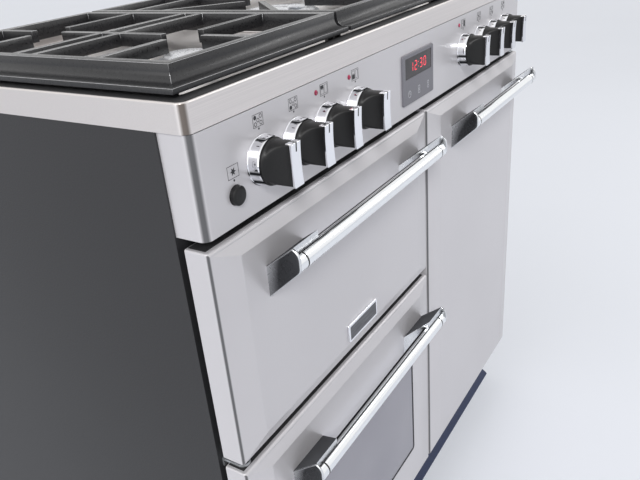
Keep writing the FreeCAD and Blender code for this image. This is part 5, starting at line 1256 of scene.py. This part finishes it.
class CookerHobShadeStrip(bpy.types.Operator):
    """Lays a black strip on the hob trim: painted shade where the trim and the plate behind it fall dark
    under the pan supports.
    """
    bl_idname = "cooker.gasket"
    bl_label = "Hob gasket"

    def execute(self, context):
        sizes = context.scene.cooker.trim
        low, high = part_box("hob_trim")
        near, far = sizes.shade_strip_start, sizes.shade_strip_end
        base, top = high.z - sizes.shade_strip_sink, high.z + sizes.shade_strip_height
        corner, rear = sizes.shade_strip_corner, high.y - near
        loops = [rounded_loop(low.x + inset, high.x - inset, low.y + inset, rear, corner, up)
                 for inset, up in ((near, base), (near, top), (far, top), (far, base))]
        shade_strip = skinned(loops, closed=True)
        # Painted shade under the pan supports
        add_piece(shade_strip, "hob_shade_strip", "seal_rubber", "cabinet", "seal_rubber", smooth=40)
        return {"FINISHED"}


class CookerFloorShadow(bpy.types.Operator):
    """Runs a dark blue strip along the foot of the plinth: a painted shadow on the floor under the doors."""
    bl_idname = "cooker.lip"
    bl_label = "Plinth lip"

    def execute(self, context):
        sizes = context.scene.cooker.trim
        low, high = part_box("plinth")
        toe, base, top, thick = low.y - sizes.floor_shadow_reach, sizes.floor_shadow_gap, sizes.floor_shadow_height, sizes.floor_shadow_thickness
        side = [(low.y, top), (low.y, top - thick), (toe + thick, base), (toe, base),
                (toe + sizes.toe_length, sizes.toe_height), (low.y - thick, top)]
        floor_shadow = extruded(side, low.x, high.x)
        add_piece(floor_shadow, "plinth_floor_shadow", "painted_floor_shadow", "cabinet", "seal_rubber", smooth=40)
        return {"FINISHED"}


class CookerPlate(bpy.types.Operator):
    """Polishes the bare plate on the grill door"""
    bl_idname = "cooker.plate"
    bl_label = "Bare plate"

    def execute(self, context):
        sizes = context.scene.cooker.trim
        plate = rounded_copy("badge_plate", "door_plate", "chrome", context.scene.cooker.edges.plate)
        place_piece(plate, "grill_door", "chrome", "badge_plate")
        low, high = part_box("badge_plate")
        width, height = high.x - low.x - 2 * sizes.plate_rim, high.z - low.z - 2 * sizes.plate_rim
        sheet = InkSheet(low.y, sizes.plate_field)
        sheet.bar(*middle_of("badge_plate"), width, height)
        add_piece(sheet.bm, "door_plate_field", "plate_field", "grill_door", "chrome")
        return {"FINISHED"}


def screw_head(tree):
    """Round screw head with a crossed slot, looking backwards."""
    radius, height = tree.given["Head Radius"], tree.given["Head Height"]
    top = tree.node("ShaderNodeMath", {0: radius, 1: tree.given["Top Share"]}, operation="MULTIPLY")["Value"]
    head = tree.node("GeometryNodeMeshCone", {
        "Vertices": SCREW_STEPS, "Radius Top": top, "Radius Bottom": radius, "Depth": height})["Mesh"]
    width = tree.given["Slot Width"]
    size = tree.node("ShaderNodeCombineXYZ", {"X": radius, "Y": width, "Z": height})["Vector"]
    slot = tree.node("GeometryNodeMeshCube", {"Size": size})["Mesh"]
    rise = tree.node("ShaderNodeCombineXYZ", {"Z": tree.given["Slot Rise"]})["Vector"]
    slots = [tree.turned(slot, (0, 0, turn), rise) for turn in (0, 90)]
    return tree.turned(tree.joined([head, *slots]), (-90, 0, 0))


def screw_points(sizes):
    """Places of the screws: two columns at the sides of the rear sheet, and two rows between them."""
    low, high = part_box("back_panel")
    left, right, base, top = low.x + sizes.edge, high.x - sizes.edge, low.z + sizes.edge, high.z - sizes.edge
    deep = high.y + sizes.head_gap
    rows = round((top - base) / sizes.pitch)
    columns = round((right - left) / sizes.pitch)
    points = []
    for row in range(rows + 1):
        level = base + (top - base) * row / rows
        points += [(left, deep, level), (right, deep, level)]
    for column in range(1, columns):
        across = left + (right - left) * column / columns
        points += [(across, deep, base), (across, deep, top)]
    return points


class CookerScrews(bpy.types.Operator):
    """Sets a row of screws round the rear sheet"""
    bl_idname = "cooker.screws"
    bl_label = "Screws"

    def execute(self, context):
        sizes = context.scene.cooker.screws
        tree = PointTree("Screw Heads", {
            "Head Radius": sizes.head_radius, "Head Height": sizes.head_height, "Top Share": sizes.top_share,
            "Slot Width": sizes.slot_width, "Slot Rise": sizes.slot_rise})
        tree.copy(screw_head(tree), "galvanised")
        place_piece(tree.piece(screw_points(sizes), "rear_screws", "galvanised"), "cabinet", "galvanised")
        return {"FINISHED"}


def even_sky(strength):
    """White surroundings for the camera, metal and glass, with a lower even light on dull surfaces."""
    world = bpy.data.worlds.new("Studio")
    world.use_nodes = True
    tree = world.node_tree
    even = tree.nodes["Background"]
    even.inputs["Color"].default_value = WHITE
    even.inputs["Strength"].default_value = strength
    light = even.outputs["Background"]
    seen = add_node(tree, "ShaderNodeBackground", {"Color": WHITE, "Strength": 1.0})["Background"]
    path = add_node(tree, "ShaderNodeLightPath", {})
    chosen = path["Is Camera Ray"]
    for ray in ("Is Glossy Ray", "Is Transmission Ray"):
        chosen = add_node(tree, "ShaderNodeMath", {0: chosen, 1: path[ray]}, operation="MAXIMUM")["Value"]
    mix = add_node(tree, "ShaderNodeMixShader", {0: chosen, 1: light, 2: seen})["Shader"]
    tree.links.new(mix, tree.nodes["World Output"].inputs["Surface"])
    return world


def pale_floor(sizes):
    """Plain floor with a hardly visible cloud."""
    surface = Surface("pale_floor")
    surface.start(sizes.floor_tone, roughness=0.7)
    surface.tint(surface.noise(1.5), tuple(part * 0.99 for part in sizes.floor_tone))
    half = sizes.floor / 2
    mesh = bpy.data.meshes.new("floor")
    corners = [(x, y, 0.0) for x, y in ((-half, -half), (half, -half), (half, half), (-half, half))]
    mesh.from_pydata(corners, [], [(0, 1, 2, 3)])
    return linked_piece(mesh, "floor", surface.material)


def add_light(name, kind, spot, travel, **values):
    """A lamp that shines along its travel."""
    data = bpy.data.lights.new(name, kind)
    for key, value in values.items():
        setattr(data, key, value)
    lamp = bpy.data.objects.new(name, data)
    turned = Vector(travel).to_track_quat("-Z", "Y").to_matrix().to_4x4()
    lamp.matrix_world = Matrix.Translation(spot) @ turned
    bpy.context.scene.collection.objects.link(lamp)


def add_soft_light(name, spot, aim, width, height, power):
    """A rectangular lamp that looks at a point."""
    travel = Vector(aim) - Vector(spot)
    add_light(name, "AREA", spot, travel, shape="RECTANGLE", size=width, size_y=height, energy=power)


def add_camera(sizes):
    """A camera that looks at its aim, rolled about the line of sight."""
    data = bpy.data.cameras.new("camera")
    data.sensor_width = 36.0
    data.lens = sizes.focal
    camera = bpy.data.objects.new("camera", data)
    sight = (Vector(sizes.camera_aim) - Vector(sizes.camera_place)).to_track_quat("-Z", "Y")
    turned = sight @ Quaternion((0.0, 0.0, 1.0), sizes.camera_roll)
    camera.matrix_world = Matrix.Translation(sizes.camera_place) @ turned.to_matrix().to_4x4()
    bpy.context.scene.collection.objects.link(camera)
    return camera


class CookerStage(bpy.types.Operator):
    """Sets the floor, the light and the camera"""
    bl_idname = "cooker.stage"
    bl_label = "Stage"

    def execute(self, context):
        sizes = context.scene.cooker.stage
        context.scene.world = even_sky(sizes.sky)
        pale_floor(sizes)
        add_light("key", "SUN", sizes.key_place, sizes.key_travel, energy=sizes.key, angle=sizes.key_angle)
        add_soft_light("strip", sizes.strip_place, sizes.strip_aim, sizes.strip_width, sizes.strip_height,
                       sizes.strip_power)
        add_soft_light("side", sizes.side_place, sizes.side_aim, sizes.side_width, sizes.side_width,
                       sizes.side_power)
        context.scene.camera = add_camera(sizes)
        context.scene.view_settings.view_transform = "Standard"
        return {"FINISHED"}


OPERATORS = (CookerFinishes, CookerKnobs, CookerMarks, CookerBezels, CookerTicks, CookerClock, CookerHandles,
             CookerDoorStrips, CookerHob, CookerHobShadeStrip, CookerFloorShadow, CookerPlate, CookerScrews, CookerStage)


class CookerPanel(bpy.types.Panel):
    """Lists the pieces of the cooker"""
    bl_idname = "VIEW3D_PT_cooker"
    bl_label = "Range Cooker"
    bl_space_type = "VIEW_3D"
    bl_region_type = "UI"
    bl_category = "Cooker"

    def draw(self, context):
        for operator in OPERATORS:
            self.layout.operator(operator.bl_idname)


CLASSES = (FinishColours, KnobSizes, SignSizes, BezelSizes, ClockSizes, HandleSizes, EdgeSizes, TrimSizes,
           ScrewSizes, StageSizes, CookerSettings, *OPERATORS, CookerPanel)


def register():
    for item in CLASSES:
        bpy.utils.register_class(item)
    bpy.types.Scene.cooker = group(CookerSettings, "Cooker", "Sizes and tones of the range cooker")


def unregister():
    del bpy.types.Scene.cooker
    for item in reversed(CLASSES):
        bpy.utils.unregister_class(item)


def main():
    register()
    for operator in OPERATORS:
        group, name = operator.bl_idname.split(".")
        getattr(getattr(bpy.ops, group), name)()


if __name__ == "__main__":
    main()
